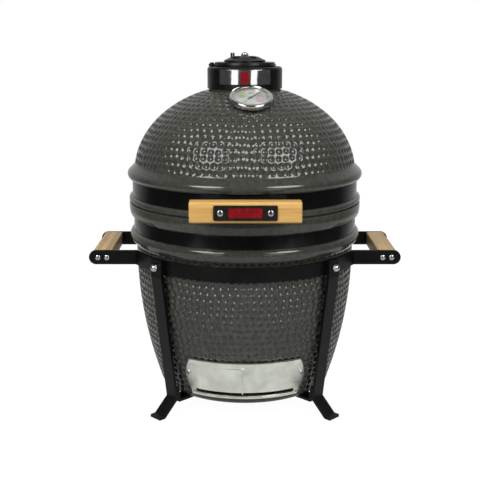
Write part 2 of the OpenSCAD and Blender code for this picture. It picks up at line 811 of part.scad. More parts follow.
module arm(c) {
    end = arm_path[3];
    color("#191918") mirror([c[0] < 0 ? 1 : 0, 0, 0]) mirror([0, c[1] < 0 ? 1 : 0, 0]) difference() {
        union() {
            translate([0, 0, ring_z - bar_w / 2]) linear_extrude(bar_w) bent_bar(arm_path, arm_t);
            translate([end[0], arm_y, ring_z]) rotate([90, 0, 0])
                cylinder(r = bar_w / 2, h = arm_t, center = true);
        }
        rotate([0, 0, 45]) bolt_hole(ring_z, arm_u - arm_t, arm_u + arm_t);
        for (x = screw_xs) translate([x, arm_y, ring_z]) rotate([90, 0, 0])
            cylinder(r = screw_r + run_clear, h = 3 * arm_t, center = true);
    }
}

module arm_front_left() {
    arm(corners[0]);
}

module arm_front_right() {
    arm(corners[1]);
}

module arm_rear_left() {
    arm(corners[2]);
}

module arm_rear_right() {
    arm(corners[3]);
}

module side_handle(s) {
    half = arm_y - arm_t / 2;
    color("#b99f7c") difference() {
        translate([s * side_x, half, ring_z]) rotate([90, 0, 0])
            linear_extrude(2 * half) round_rect(side_w, bar_w, side_round);
        for (x = screw_xs, e = [-1, 1]) translate([s * x, e * half, ring_z]) rotate([90, 0, 0])
            cylinder(r = screw_r + run_clear, h = 2 * side_screw_l, center = true);
    }
}

module side_handle_left() {
    side_handle(-1);
}

module side_handle_right() {
    side_handle(1);
}

module side_handle_screws() {
    face = arm_y + arm_t / 2;
    color("#c2c2c0") for (s = [-1, 1], e = [-1, 1], x = screw_xs)
        translate([s * x, e * face, ring_z]) rotate([-90 * e, 0, 0])
            rivet(screw_r, side_screw_l, wood_head_r, side_head_h);
}

// Lid

nose_c = [dome_r + flange_out - flange_nose_r, flange_z + flange_nose_r];
nose_end = 35;
nose_top = nose_c + flange_nose_r * [cos(nose_end), sin(nose_end)];
flange_end = [dome_radius(dome_z + flange_run), dome_z + flange_run];
dome_steps = 20;
crown_r = dome_radius(crown_z);
crown_ang = asin((crown_z - dome_z) / dome_rise);
run_ang = asin(flange_run / dome_rise);
in_rise = dome_rise - wall;
chimney_ang = acos(chimney_r / lid_in_r);
lid_outline = concat(
    arc(lip_r - lip_edge, lid_z + lip_edge, lip_edge, -90, 0, 3),
    [[lip_r, lid_z + 0.4 * lid_lip_h]],
    curve([lip_r, lid_z + 0.4 * lid_lip_h], [lip_r, lid_band_z - 1.5], [lid_groove_r + 4, lid_band_z],
        [lid_groove_r, lid_band_z], 6),
    [[lid_groove_r, flange_z]],
    arc(nose_c[0], nose_c[1], flange_nose_r, -90, nose_end, 8),
    curve(nose_top, nose_top + [-3.6, 5.1], flange_end + [0.9, -5], flange_end, 6),
    [for (i = [1 : dome_steps]) let (a = run_ang + (crown_ang - run_ang) * i / dome_steps)
        [dome_r * cos(a), dome_z + dome_rise * sin(a)]],
    [[chimney_r, crown_z]],
    [for (i = [12 : -1 : 0]) let (a = chimney_ang * i / 12)
        [lid_in_r * cos(a), dome_z + in_rise * sin(a)]],
    [[lid_in_r, lid_z]]);

module lid_shell() {
    color("#4b4d46") difference() {
        rotate_extrude($fn = 96) polygon(lid_outline);
        at_therm() translate([0, 0, -2 * wall]) cylinder(r = stem_r + stem_clear, h = 3 * wall);
    }
}

module lid_gasket() {
    color("#34342f") rim_gasket(rim_z + gasket_t);
}

module lid_band() {
    color("#191919") difference() {
        strap(lid_groove_r, lid_band_z, lid_band_w);
        for (s = [-1, 1]) bracket_rivet_place(s) translate([0, 0, -band_t - cut])
            cylinder(r = rivet_r + run_clear, h = band_t + 2 * cut);
    }
}

module lid_hinge_bracket() {
    color("#191919") hinge_bracket(lid_band_out, lid_band_z, lid_band_w, lid_ear_x, lid_shelf_z);
}

module lid_rivets() {
    color("#2a2a2a") {
        plate_rivets(lid_band_out, lid_band_z + lid_band_w / 2);
        for (s = [-1, 1]) bracket_rivet_place(s) translate([0, 0, plate_t])
            rivet(rivet_r, plate_t + band_t, rivet_head_r, rivet_head_h);
    }
}

// Lid handle

handle_z = lid_band_z + lid_band_w / 2 - handle_drop;
handle_back = lid_band_out + handle_gap;
handle_front = handle_back + handle_d;
badge_front = handle_front + badge_t;
handle_screw_x = handle_screw_gap / 2;
bracket_half = asin((handle_screw_x + post_r) / lid_band_out) + 5.5;
bracket_rivet_ang = bracket_half - 2.4;
post_bite = 8;
handle_head_h = 1.8;
field_t = 0.6;

// Places children with +Z pointing out of the lid band at a rivet of the handle bracket
module bracket_rivet_place(s) {
    rotate([0, 0, 180]) at_rear(s * bracket_rivet_ang, lid_band_out, handle_z) children();
}

// Places children at a handle screw, with +Z pointing to the front and z = 0 at a distance from the axis
module at_handle_screw(s, y) {
    translate([s * handle_screw_x, -y, handle_z]) rotate([90, 0, 0]) children();
}

module handle_bracket() {
    plate_w = lid_band_w - 2 * plate_margin;
    color("#191919") difference() {
        union() {
            ring_slice(bracket_half)
                translate([lid_band_out, lid_band_z + plate_margin]) square([plate_t, plate_w]);
            difference() {
                for (s = [-1, 1]) at_handle_screw(s, lid_band_out * 0.9)
                    cylinder(r = post_r, h = handle_back - lid_band_out * 0.9);
                cylinder(r = lid_band_out + plate_t / 2, h = 2 * handle_z, $fn = 96);
            }
        }
        for (s = [-1, 1]) {
            at_handle_screw(s, handle_back - post_bite - cut)
                cylinder(r = screw_r + run_clear, h = post_bite + 2 * cut);
            bracket_rivet_place(s) translate([0, 0, -cut])
                cylinder(r = rivet_r + run_clear, h = plate_t + 2 * cut);
        }
    }
}

module lid_handle() {
    color("#dfb06e") difference() {
        translate([-handle_w / 2, -handle_back - handle_d / 2, handle_z]) rotate([90, 0, 90])
            linear_extrude(handle_w) round_rect(handle_d, handle_h, handle_round);
        for (s = [-1, 1]) at_handle_screw(s, handle_back - cut)
            cylinder(r = screw_r + run_clear, h = handle_d + 2 * cut);
    }
}

module handle_plate() {
    color("#15130f") difference() {
        translate([0, -handle_front, handle_z]) rotate([90, 0, 0])
            linear_extrude(badge_t) round_rect(badge_w, badge_h, 2);
        for (s = [-1, 1]) at_handle_screw(s, handle_front - cut)
            cylinder(r = screw_r + run_clear, h = badge_t + 2 * cut);
    }
}

module handle_field() {
    color("#9c1c1c") translate([0, -badge_front, handle_z]) rotate([90, 0, 0])
        linear_extrude(field_t) round_rect(min(field_w, handle_screw_gap - 10), min(field_h, badge_h - 4), 1);
}

module handle_screws() {
    color("#c2c2c0") for (s = [-1, 1]) at_handle_screw(s, badge_front)
        rivet(screw_r, badge_t + handle_d + post_bite - 1, wood_head_r, handle_head_h);
}

// Top vent

cover_z = cap_top + 0.3;
cover_top = cover_z + cover_t;
cover_rim_h = cover_t * 0.6;
wheel_z = cover_top + 0.3;
wheel_top = wheel_z + wheel_h;
spigot_l = 10;
cap_round = 4;

module vent_gasket() {
    color("#20201e") translate([0, 0, crown_z]) difference() {
        cylinder(r = crown_r - 0.6, h = cap_seal_t);
        translate([0, 0, -cut]) cylinder(r = chimney_r, h = cap_seal_t + 2 * cut);
    }
}

// Cast cap: bottom ring with a spigot in the chimney, outer wall, and a top ring with a round edge
module vent_cap() {
    spigot_r = chimney_r - seat;
    in_r = spigot_r - 4;
    color("#161616") difference() {
        rotate_extrude($fn = 96) polygon(concat(
            [[in_r, cap_z - spigot_l], [spigot_r, cap_z - spigot_l], [spigot_r, cap_z], [cap_r, cap_z]],
            arc(cap_r - cap_round, cap_top - cap_round, cap_round, 0, 90, 6),
            [[in_r, cap_top], [in_r, cap_top - cap_plate], [cap_r - cap_wall, cap_top - cap_plate],
                [cap_r - cap_wall, cap_z + cap_plate], [in_r, cap_z + cap_plate]]));
        translate([-pivot_x, 0, cap_top - cap_plate - cut])
            cylinder(r = pivot_r + run_clear, h = cap_plate + 2 * cut);
    }
}

crest_z = cap_z + cap_h / 2 + 2 - crest_h / 2;

module vent_crest() {
    color("#cfcfcd") ring_slice(crest_half)
        translate([cap_r + seat / 2, crest_z]) square([crest_t, min(crest_h, cap_h - cap_round - 4)]);
}

module crest_field() {
    h = min(crest_h, cap_h - cap_round - 4);
    margin = 1.9;
    color("#9c1c1c") ring_slice(6)
        translate([cap_r + seat / 2 + crest_t, crest_z + margin]) square([field_t, h - 2 * margin]);
}

module cover_pivot() {
    head_r = pivot_r + 1.2;
    head_z = cover_z + cover_rim_h + 0.3;
    color("#2a2a2a") translate([-pivot_x, 0, 0]) {
        translate([0, 0, cap_top - cap_plate])
            cylinder(r = pivot_r, h = cap_plate + head_z - cap_top + cut);
        translate([0, 0, head_z]) cylinder(r1 = head_r, r2 = head_r * 0.6, h = 1.6);
    }
}

bolt_head_r = bolt_r + 2;
bolt_head_h = 2.2;
bolt_head_z = cover_z + seat;

module swing_cover() {
    boss_r = pivot_r + 2.2;
    color("#181818") difference() {
        union() {
            translate([0, 0, cover_z]) cylinder(r = cover_r - 1.5, h = cover_t);
            translate([0, 0, cover_z]) cylinder(r = cover_r, h = cover_rim_h);
            translate([-pivot_x, 0, cover_z]) cylinder(r = boss_r, h = cover_rim_h);
        }
        translate([-pivot_x, 0, cover_z - cut]) cylinder(r = pivot_r + run_clear, h = cover_t + 2 * cut);
        translate([0, 0, cover_z - cut]) cylinder(r = bolt_r + run_clear, h = cover_t + 2 * cut);
        translate([0, 0, cover_z - cut])
            cylinder(r = bolt_head_r + run_clear, h = cut + bolt_head_z + bolt_head_h - cover_z);
        for (i = [0 : window_count - 1]) rotate([0, 0, -90 + 360 * i / window_count])
            translate([window_at, 0, cover_z - cut]) cylinder(r = window_r, h = cover_t + 2 * cut);
    }
}

nut_seat = wheel_top + 0.2;

module wheel_bolt() {
    color("#9a9a98") {
        translate([0, 0, bolt_head_z]) cylinder(r = bolt_r, h = nut_seat + 2 - bolt_head_z);
        translate([0, 0, bolt_head_z]) cylinder(r = bolt_head_r, h = bolt_head_h);
    }
}

module wheel_nut() {
    color("#8c8c8a") translate([0, 0, nut_seat]) dome_nut(bolt_r, bolt_r + 2.4, 2.6, 2.6);
}

// Domed wheel with windows and a pair of finger prongs on its left
module daisy_wheel() {
    rim_h = 2.5;
    top_r = wheel_r * 0.5;
    prong_t = 2;
    prong_gap = 3.2;
    prong_x = window_at - 0.6;
    prong_ang = 270 - 360 / window_count - 180;
    prong_top = wheel_top + 4.6;
    color("#1a1a1a") difference() {
        union() {
            translate([0, 0, wheel_z]) rotate_extrude() polygon(concat(
                [[0, 0], [wheel_r, 0], [wheel_r, rim_h]],
                curve([wheel_r, rim_h], [wheel_r * 0.86, rim_h + 1], [top_r + 5, wheel_h],
                    [top_r, wheel_h], 5),
                [[0, wheel_h]]));
            rotate([0, 0, prong_ang]) for (s = [-1, 1])
                translate([-prong_x + s * prong_gap / 2 - prong_t / 2, -1.5, wheel_z + 1])
                    cube([prong_t, 3, prong_top - wheel_z - 1]);
        }
        translate([0, 0, wheel_z - cut]) cylinder(r = bolt_r + run_clear, h = wheel_h + 2 * cut);
        for (i = [0 : window_count - 1]) rotate([0, 0, -90 + 360 * (i + 0.5) / window_count])
            translate([window_at, 0, wheel_z - cut]) cylinder(r = window_r - 1, h = wheel_h + 2 * cut);
    }
}

// Thermometer

therm_tilt = dome_tilt(therm_at);
stem_clear = 1.5;
case_lift = 1.5;
case_floor = 1.2;
case_r = therm_r - 2;
case_wall = 1.5;
dial_z = case_lift + case_floor + 0.4;
dial_t = 0.6;
needle_z = dial_z + dial_t + 0.6;
needle_t = 0.5;
post_top = needle_z + needle_t + 0.5;
lens_t = 1.2;
lens_z = case_lift + therm_d - lens_t;
axle_r = 1;

// Places children on the dome, with +Z along its normal
module at_therm() {
    rotate([0, 0, therm_turn]) translate([0, -therm_at, dome_height(therm_at)])
        rotate([therm_tilt, 0, 0]) children();
}

module therm_case() {
    color("#c4c4c2") at_therm() {
        difference() {
            translate([0, 0, case_lift]) cylinder(r = case_r, h = therm_d - lens_t);
            translate([0, 0, case_lift + case_floor]) cylinder(r = case_r - case_wall, h = therm_d);
        }
        translate([0, 0, -stem_l]) cylinder(r = stem_r, h = stem_l + case_lift + case_floor / 2);
        cylinder(r = stem_r + 4, h = case_lift + case_floor / 2);
        translate([0, 0, case_lift]) cylinder(r = axle_r, h = post_top - case_lift);
    }
}

module therm_dial() {
    color("#ecece4") at_therm() difference() {
        translate([0, 0, dial_z]) cylinder(r = case_r - case_wall - seat, h = dial_t);
        translate([0, 0, dial_z - cut]) cylinder(r = axle_r + run_clear, h = dial_t + 2 * cut);
    }
}

module therm_needle() {
    length = case_r - case_wall - 6;
    color("#2a2a2a") at_therm() translate([0, 0, needle_z]) difference() {
        union() {
            cylinder(r = 2.6, h = needle_t);
            rotate([0, 0, 45]) linear_extrude(needle_t)
                polygon([[0, -1.1], [length, -0.3], [length, 0.3], [0, 1.1]]);
            rotate([0, 0, 225]) linear_extrude(needle_t)
                polygon([[0, -1.1], [length * 0.35, -1.1], [length * 0.35, 1.1], [0, 1.1]]);
        }
        translate([0, 0, -cut]) cylinder(r = axle_r + run_clear, h = needle_t + 2 * cut);
    }
}

module therm_lens() {
    color([0.85, 0.9, 0.9, 0.35]) at_therm() translate([0, 0, lens_z]) cylinder(r = case_r, h = lens_t);
}

module therm_bezel() {
    rim = 3.5;
    color("#d6d6d4") at_therm() difference() {
        translate([0, 0, case_lift]) rotate_extrude() polygon(concat(
            [[case_r + run_clear, 0], [therm_r, 0]],
            arc(therm_r - 2, therm_d - 1, 2, 0, 90, 5),
            [[case_r - rim, therm_d + 1], [case_r - rim, therm_d + run_clear],
                [case_r + run_clear, therm_d + run_clear]]));
        translate([0, 0, case_lift - cut]) cylinder(r = case_r - rim, h = therm_d + 4 * cut);
    }
}

// Wing nut on the stem, against the inside of the dome
module therm_nut() {
    depth = wall + 1.6;
    nut_t = 5;
    hub_r = stem_r + 4;
    wing_l = 28;
    wing_t = 2.5;
    color("#b4b4b2") at_therm() translate([0, 0, -depth - nut_t]) difference() {
        union() {
            cylinder(r = hub_r, h = nut_t);
            translate([-wing_l / 2, -wing_t / 2, 0]) cube([wing_l, wing_t, nut_t - 1]);
        }
        translate([0, 0, -cut]) cylinder(r = stem_r + run_clear, h = nut_t + 2 * cut);
    }
}

base_shell();
fire_box();
charcoal_grate();
fire_ring();
cooking_grate();
base_gasket();
base_band();
base_hinge_bracket();
base_rivets();
hinge_pin();
hinge_springs();
draft_frame();
draft_screws();
draft_door();
front_arc();
rear_arc();
cross_brace();
leg_front_left();
leg_front_right();
leg_rear_left();
leg_rear_right();
leg_bolts();
leg_dome_nuts();
arm_front_left();
arm_front_right();
arm_rear_left();
arm_rear_right();
side_handle_left();
side_handle_right();
side_handle_screws();
lid_shell();
lid_gasket();
lid_band();
lid_hinge_bracket();
lid_rivets();
handle_bracket();
lid_handle();
handle_plate();
handle_field();
handle_screws();
vent_gasket();
vent_cap();
vent_crest();
crest_field();
cover_pivot();
swing_cover();
wheel_bolt();
wheel_nut();
daisy_wheel();
therm_case();
therm_dial();
therm_needle();
therm_lens();
therm_bezel();
therm_nut();
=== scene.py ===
"""Looks of the mini kamado grill, built round its packed construction. Metres, +Z up, front -Y."""

import json
import math

import bmesh
import bpy
import numpy as np
from mathutils import Matrix, Vector


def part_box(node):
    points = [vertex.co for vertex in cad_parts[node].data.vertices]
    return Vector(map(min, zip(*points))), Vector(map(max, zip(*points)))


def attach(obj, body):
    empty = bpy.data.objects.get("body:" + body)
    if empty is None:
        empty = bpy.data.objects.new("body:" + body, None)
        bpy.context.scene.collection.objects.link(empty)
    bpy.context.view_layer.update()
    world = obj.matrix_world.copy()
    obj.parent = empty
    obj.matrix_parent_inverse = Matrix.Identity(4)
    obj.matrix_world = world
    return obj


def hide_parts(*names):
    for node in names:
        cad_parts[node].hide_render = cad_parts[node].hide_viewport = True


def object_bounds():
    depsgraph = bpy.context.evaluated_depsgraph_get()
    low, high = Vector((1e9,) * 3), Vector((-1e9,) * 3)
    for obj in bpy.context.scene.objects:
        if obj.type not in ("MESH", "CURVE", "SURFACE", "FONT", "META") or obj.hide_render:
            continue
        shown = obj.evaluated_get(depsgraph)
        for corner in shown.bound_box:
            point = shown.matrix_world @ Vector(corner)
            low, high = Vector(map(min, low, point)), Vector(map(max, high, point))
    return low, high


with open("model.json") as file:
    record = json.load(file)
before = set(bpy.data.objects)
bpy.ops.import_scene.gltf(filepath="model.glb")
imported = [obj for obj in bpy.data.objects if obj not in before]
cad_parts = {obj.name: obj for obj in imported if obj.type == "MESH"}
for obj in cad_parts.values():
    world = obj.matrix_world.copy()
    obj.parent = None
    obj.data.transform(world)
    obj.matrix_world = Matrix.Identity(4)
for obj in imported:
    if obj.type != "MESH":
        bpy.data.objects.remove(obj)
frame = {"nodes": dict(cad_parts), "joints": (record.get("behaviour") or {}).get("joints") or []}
cad_lo, cad_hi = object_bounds()
nodes = frame["nodes"]
MM = 0.001

# Sizes of the base and the lid, read from the frame where it has them
base_lo, base_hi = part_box("base_shell")
lid_lo, lid_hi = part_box("lid_shell")
base_band_lo, base_band_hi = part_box("base_band")
lid_band_lo, lid_band_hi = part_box("lid_band")
BAND_T = 1.8 * MM
WALL = 20 * MM
BODY_ARC = 580 * MM
BELLY_H = 194.5 * MM
FOOT_ROUND = 8 * MM
GROOVE_OUT = 1.7 * MM
BEAD_OUT = 8.8 * MM
BEAD_DROP = 7.44 * MM
BEAD_RUN = 19.5 * MM
BEAD_EASE = 9 * MM
BEAD_SHOULDER = 2.5 * MM
BEAD_SMOOTH = 13 * MM
GROOVE_EASE = 4 * MM
LIP_EDGE = 1.5 * MM
LIP_FOOT_OUT = 5.5 * MM
LIP_FOOT_UP = 0.5 * MM
LIP_EASE = 7 * MM
LIP_SHARE = 0.7
base_z = base_lo.z
rim_z = base_hi.z
hearth_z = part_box("fire_box")[0].z
base_groove_r = base_band_hi.x - BAND_T
body_r = base_groove_r - GROOVE_OUT
lip_r = base_hi.x
belly_z = base_z + BELLY_H
bead_mid_z = base_band_lo.z - BEAD_DROP

NOSE_R = 7.5 * MM
FLANGE_OUT = 9.5 * MM
FLANGE_RISE = 7.5 * MM
FLANGE_RUN = 14.5 * MM
FLANGE_LEAVE = np.array([-4.6, 4.6]) * MM
FLANGE_ARRIVE = np.array([0.7, -2]) * MM
NOSE_END = 45
LID_LIP_SHARE = 0.4
LID_LIP_EASE = 1.5 * MM
CROWN_CUT = 6.5 * MM
CHIMNEY_R = 36 * MM
lid_z = lid_lo.z
crown_z = lid_hi.z
lid_groove_r = lid_band_hi.x - BAND_T
lid_lip_h = lid_band_lo.z - lid_z
flange_z = lid_band_hi.z
dome_r = lid_hi.x - FLANGE_OUT
dome_z = flange_z + FLANGE_RISE
dome_rise = crown_z + CROWN_CUT - dome_z

# Pressed dimples of the glaze
DIMPLE_PITCH = 9.7 * MM
DIMPLE_ROW = 9.3 * MM
DIMPLE_R = 4.7 * MM
DOME_DIMPLE = 1.45 * MM
BASE_DIMPLE = 2.4 * MM
DIMPLE_SLIP = 0.5 * MM
DIMPLE_SPREAD = (0.93, 1.05)
DIMPLE_FALL = 1.25
DIMPLE_REACH = 1.4 * DIMPLE_R
LAST_ROW = 0.8 * DIMPLE_R
SKIN_STEP = 1 * MM
SEGMENTS = 960
SEED = 7


# Outlines, as lists of points in a half plane

def arc(cx, cy, r, start, end, steps):
    """Points on an arc between two angles in degrees."""
    turns = np.radians(np.linspace(start, end, steps + 1))
    return np.column_stack([cx + r * np.cos(turns), cy + r * np.sin(turns)])


def polygon(r, count):
    """The corners of a regular polygon."""
    return arc(0, 0, r, 0, 360 - 360 / count, count - 1)


def quarter_dome(r, z, rise, steps):
    """A quarter of an ellipse, from a rim up to the axis."""
    turns = np.radians(np.linspace(0, 90, steps + 1))
    points = np.column_stack([r * np.cos(turns), z + rise * np.sin(turns)])
    points[-1, 0] = 0
    return points


def bezier(p, q, r, s, steps):
    """Points on a curve from p to s that starts towards q and arrives from r."""
    t = np.linspace(0, 1, steps + 1)[:, None]
    u = 1 - t
    corners = [np.array(x) for x in (p, q, r, s)]
    return u**3 * corners[0] + 3 * u * u * t * corners[1] + 3 * u * t * t * corners[2] + t**3 * corners[3]


def lengths_along(points):
    steps = np.linalg.norm(np.diff(points, axis=0), axis=1)
    return np.concatenate([[0], np.cumsum(steps)])


def resample(points, step):
    """The same line with points at even steps."""
    along = lengths_along(points)
    count = max(2, int(round(along[-1] / step)) + 1)
    places = np.linspace(0, along[-1], count)
    return np.column_stack([np.interp(places, along, points[:, 0]), np.interp(places, along, points[:, 1])])


def side_radius(z):
    """Outer radius of the base at a height."""
    drop = np.maximum(0, belly_z - z)
    return body_r - BODY_ARC + np.sqrt(BODY_ARC**2 - drop**2)


def dome_radius(z):
    """Outer radius of the dome at a height."""
    return dome_r * math.sqrt(1 - ((z - dome_z) / dome_rise) ** 2)


def rounded_rect(w, h, r, steps=6):
    """Outline of a rectangle with round corners, centred."""
    quarters = [(w / 2 - r, h / 2 - r, 0), (r - w / 2, h / 2 - r, 90),
                (r - w / 2, r - h / 2, 180), (w / 2 - r, r - h / 2, 270)]
    return np.concatenate([arc(x, y, r, a, a + 90, steps) for x, y, a in quarters])


# Meshes and pieces

def make_mesh(name, points, faces):
    mesh = bpy.data.meshes.new(name)
    mesh.from_pydata([tuple(p) for p in points], [], [tuple(f) for f in faces])
    mesh.update()
    return mesh


def make_object(name, data):
    made = bpy.data.objects.new(name, data)
    bpy.context.scene.collection.objects.link(made)
    return made


def add_piece(name, mesh, body, slot, replaces=(), paint=None, sharp_deg=35):
    """A finished piece: painted, shaded, riding on its body and standing for CAD nodes."""
    piece = make_object(name, mesh)
    if len(mesh.materials) == 0:
        mesh.materials.append(PAINT[paint or slot])
    mesh.shade_smooth()
    mesh.set_sharp_from_angle(angle=math.radians(sharp_deg))
    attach(piece, body)
    if replaces:
        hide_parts(*replaces)


def join_meshes(name, meshes):
    """One mesh that holds several, with their material numbers."""
    joined = bmesh.new()
    for mesh in meshes:
        joined.from_mesh(mesh)
    made = bpy.data.meshes.new(name)
    joined.to_mesh(made)
    joined.free()
    return made


def placed(mesh, matrix):
    """A copy of a mesh at a place."""
    copy = mesh.copy()
    copy.transform(matrix)
    return copy


def ring_faces(rings, count, closed=False):
    """Quads between rings of points that are numbered ring by ring."""
    faces = []
    for i in range(rings if closed else rings - 1):
        low = i * count
        high = (i + 1) % rings * count
        for j in range(count):
            k = (j + 1) % count
            faces.append((low + j, low + k, high + k, high + j))
    return faces


def tube_faces(rings, count):
    """The same, with a flat face on the first and the last ring."""
    last = (rings - 1) * count
    return ring_faces(rings, count) + [tuple(reversed(range(count))), tuple(range(last, last + count))]


def revolve(name, r, z, closed):
    """A solid of revolution about Z from rows of radii and heights.

    One that isn't closed starts and ends on the axis.
    """
    segments = r.shape[1]
    turns = np.linspace(0, 2 * math.pi, segments, endpoint=False)
    points = np.stack([r * np.cos(turns), r * np.sin(turns), z], axis=2)
    if closed:
        return make_mesh(name, points.reshape(-1, 3), ring_faces(len(r), segments, closed=True))
    rows = len(r) - 2
    faces = ring_faces(rows, segments)
    low = rows * segments
    top = (rows - 1) * segments
    for j in range(segments):
        k = (j + 1) % segments
        faces.append((low, k, j))
        faces.append((low + 1, top + j, top + k))
    ends = points[[0, -1], 0]
    return make_mesh(name, np.concatenate([points[1:-1].reshape(-1, 3), ends]), faces)


def turned(name, outline, segments):
    """A plain solid of revolution from an outline that starts and ends on the axis."""
    r = np.repeat(outline[:, :1], segments, axis=1)
    z = np.repeat(outline[:, 1:], segments, axis=1)
    return revolve(name, r, z, False)


def extrude(name, outline, start, end, place=Matrix.Identity(4)):
    """A prism of a flat outline between two heights, then moved to its place."""
    points = [(p[0], p[1], h) for h in (start, end) for p in outline]
    mesh = make_mesh(name, points, tube_faces(2, len(outline)))
    mesh.transform(place)
    return mesh


def bevel_edges(mesh, width, segments=3, angle_deg=30):
    """Rounds every edge that is sharper than an angle."""
    work = bmesh.new()
    work.from_mesh(mesh)
    limit = math.radians(angle_deg)
    edges = [e for e in work.edges if len(e.link_faces) == 2 and e.calc_face_angle(0) > limit]
    bmesh.ops.bevel(work, geom=edges, offset=width, segments=segments, profile=0.5, affect="EDGES",
                    clamp_overlap=True)
    work.to_mesh(mesh)
    work.free()
    return mesh


def cut_away(mesh, *cutters):
    """The mesh less the cutters."""
    target = make_object("cut_target", mesh)
    for cutter in cutters:
        tool = make_object("cut_tool", cutter)
        step = target.modifiers.new("cut", "BOOLEAN")
        step.operation = "DIFFERENCE"
        step.solver = "MANIFOLD"
        step.object = tool
        found = target.evaluated_get(bpy.context.evaluated_depsgraph_get())
        made = bpy.data.meshes.new_from_object(found)
        target.modifiers.clear()
        target.data = made
        bpy.data.objects.remove(tool)
    bpy.data.objects.remove(target)
    return made


def sweep_tube(name, path, radius, sides=12):
    """A round wire along a path, with flat ends."""
    heading = np.gradient(path, axis=0)
    heading /= np.linalg.norm(heading, axis=1)[:, None]
    side = np.cross(heading[0], [1.0, 0.0, 0.0])
    rings = []
    for point, along in zip(path, heading):
        side = side - along * np.dot(side, along)
        side /= np.linalg.norm(side)
        up = np.cross(along, side)
        for k in range(sides):
            turn = 2 * math.pi * k / sides
            rings.append(point + radius * (math.cos(turn) * side + math.sin(turn) * up))
    return make_mesh(name, rings, tube_faces(len(path), sides))


# Materials

# The range that a noise factor mostly keeps to
NOISE_LOW = 0.3
NOISE_HIGH = 0.7


def linear(*srgb):
    """A colour as the shaders take it, from its usual 0 to 255 values."""
    return tuple(((c / 255 + 0.055) / 1.055) ** 2.4 for c in srgb)


def start_material(name, color, roughness, metallic=0.0, specular=0.5):
    """A material with one shader; returns it, its node tree and the shader's inputs."""
    made = bpy.data.materials.new(name)
    made.use_nodes = True
    tree = made.node_tree
    sockets = tree.nodes["Principled BSDF"].inputs
    sockets["Base Color"].default_value = (*linear(*color), 1)
    sockets["Roughness"].default_value = roughness
    sockets["Metallic"].default_value = metallic
    sockets["Specular IOR Level"].default_value = specular
    return made, tree, sockets


def noise(tree, size, stretch=(1, 1, 1), detail=3.0):
    """A cloudy factor whose features are about one size, longer along the stretched axes."""
    coords = tree.nodes.new("ShaderNodeTexCoord")
    mapping = tree.nodes.new("ShaderNodeMapping")
    mapping.inputs["Scale"].default_value = [1 / size / s for s in stretch]
    clouds = tree.nodes.new("ShaderNodeTexNoise")
    clouds.inputs["Scale"].default_value = 1
    clouds.inputs["Detail"].default_value = detail
    tree.links.new(coords.outputs["Object"], mapping.inputs["Vector"])
    tree.links.new(mapping.outputs["Vector"], clouds.inputs["Vector"])
    return clouds.outputs["Fac"]


def calculate(tree, operation, first, second):
    """The result of a calculation with a factor and either another factor or a number."""
    step = tree.nodes.new("ShaderNodeMath")
    step.operation = operation
    tree.links.new(first, step.inputs[0])
    if isinstance(second, float):
        step.inputs[1].default_value = second
    else:
        tree.links.new(second, step.inputs[1])
    return step.outputs["Value"]


def tone(tree, factor, target, low, high, start=NOISE_LOW, end=NOISE_HIGH):
    """Colours a socket from low to high as the factor rises."""
    ramp = tree.nodes.new("ShaderNodeValToRGB")
    ramp.color_ramp.elements[0].position = start
    ramp.color_ramp.elements[1].position = end
    ramp.color_ramp.elements[0].color = (*linear(*low), 1)
    ramp.color_ramp.elements[1].color = (*linear(*high), 1)
    tree.links.new(factor, ramp.inputs["Fac"])
    tree.links.new(ramp.outputs["Color"], target)


def spread(tree, factor, target, low, high, start=NOISE_LOW, end=NOISE_HIGH):
    """Sets a number from low to high as the factor goes from start to end."""
    spreader = tree.nodes.new("ShaderNodeMapRange")
    for name, value in (("From Min", start), ("From Max", end), ("To Min", low), ("To Max", high)):
        spreader.inputs[name].default_value = value
    tree.links.new(factor, spreader.inputs["Value"])
    tree.links.new(spreader.outputs["Result"], target)


def relief(tree, factor, sockets, depth, strength=1.0):
    """Fine relief of a depth on the surface."""
    bump = tree.nodes.new("ShaderNodeBump")
    bump.inputs["Strength"].default_value = strength
    bump.inputs["Distance"].default_value = depth
    tree.links.new(factor, bump.inputs["Height"])
    tree.links.new(bump.outputs["Normal"], sockets["Normal"])


def mottled(name, low, high, roughness, patch, relief_size=0.0, relief_depth=0.0, metallic=0.0,
            specular=0.5, detail=4.0):
    """A finish whose colour and gloss vary in soft patches, with optional fine relief."""
    made, tree, sockets = start_material(name, high, roughness[1], metallic, specular)
    patches = noise(tree, patch, detail=detail)
    tone(tree, patches, sockets["Base Color"], low, high)
    spread(tree, patches, sockets["Roughness"], *roughness)
    if relief_depth:
        relief(tree, noise(tree, relief_size), sockets, relief_depth)
    return made


def glaze_material():
    """Dark grey-green glaze, thinner and paler in small spots."""
    made, tree, sockets = start_material("glaze", (60, 61, 56), 0.1)
    spots = noise(tree, 6 * MM, detail=6.0)
    tone(tree, spots, sockets["Base Color"], (54, 55, 50), (65, 66, 60), 0.35, 0.65)
    spread(tree, noise(tree, 5 * MM), sockets["Roughness"], 0.07, 0.15)
    relief(tree, noise(tree, 2.2 * MM), sockets, 0.02 * MM)
    return made


def brushed_material(name, low, high, roughness, stretch):
    """Steel with fine scratches that run along the stretched axes."""
    made, tree, sockets = start_material(name, high, roughness[1], 1.0)
    scratches = noise(tree, 0.5 * MM, stretch, detail=5.0)
    clouds = noise(tree, 22 * MM, detail=2.0)
    tone(tree, clouds, sockets["Base Color"], low, high)
    spread(tree, scratches, sockets["Roughness"], *roughness)
    relief(tree, scratches, sockets, 0.01 * MM, 0.25)
    return made


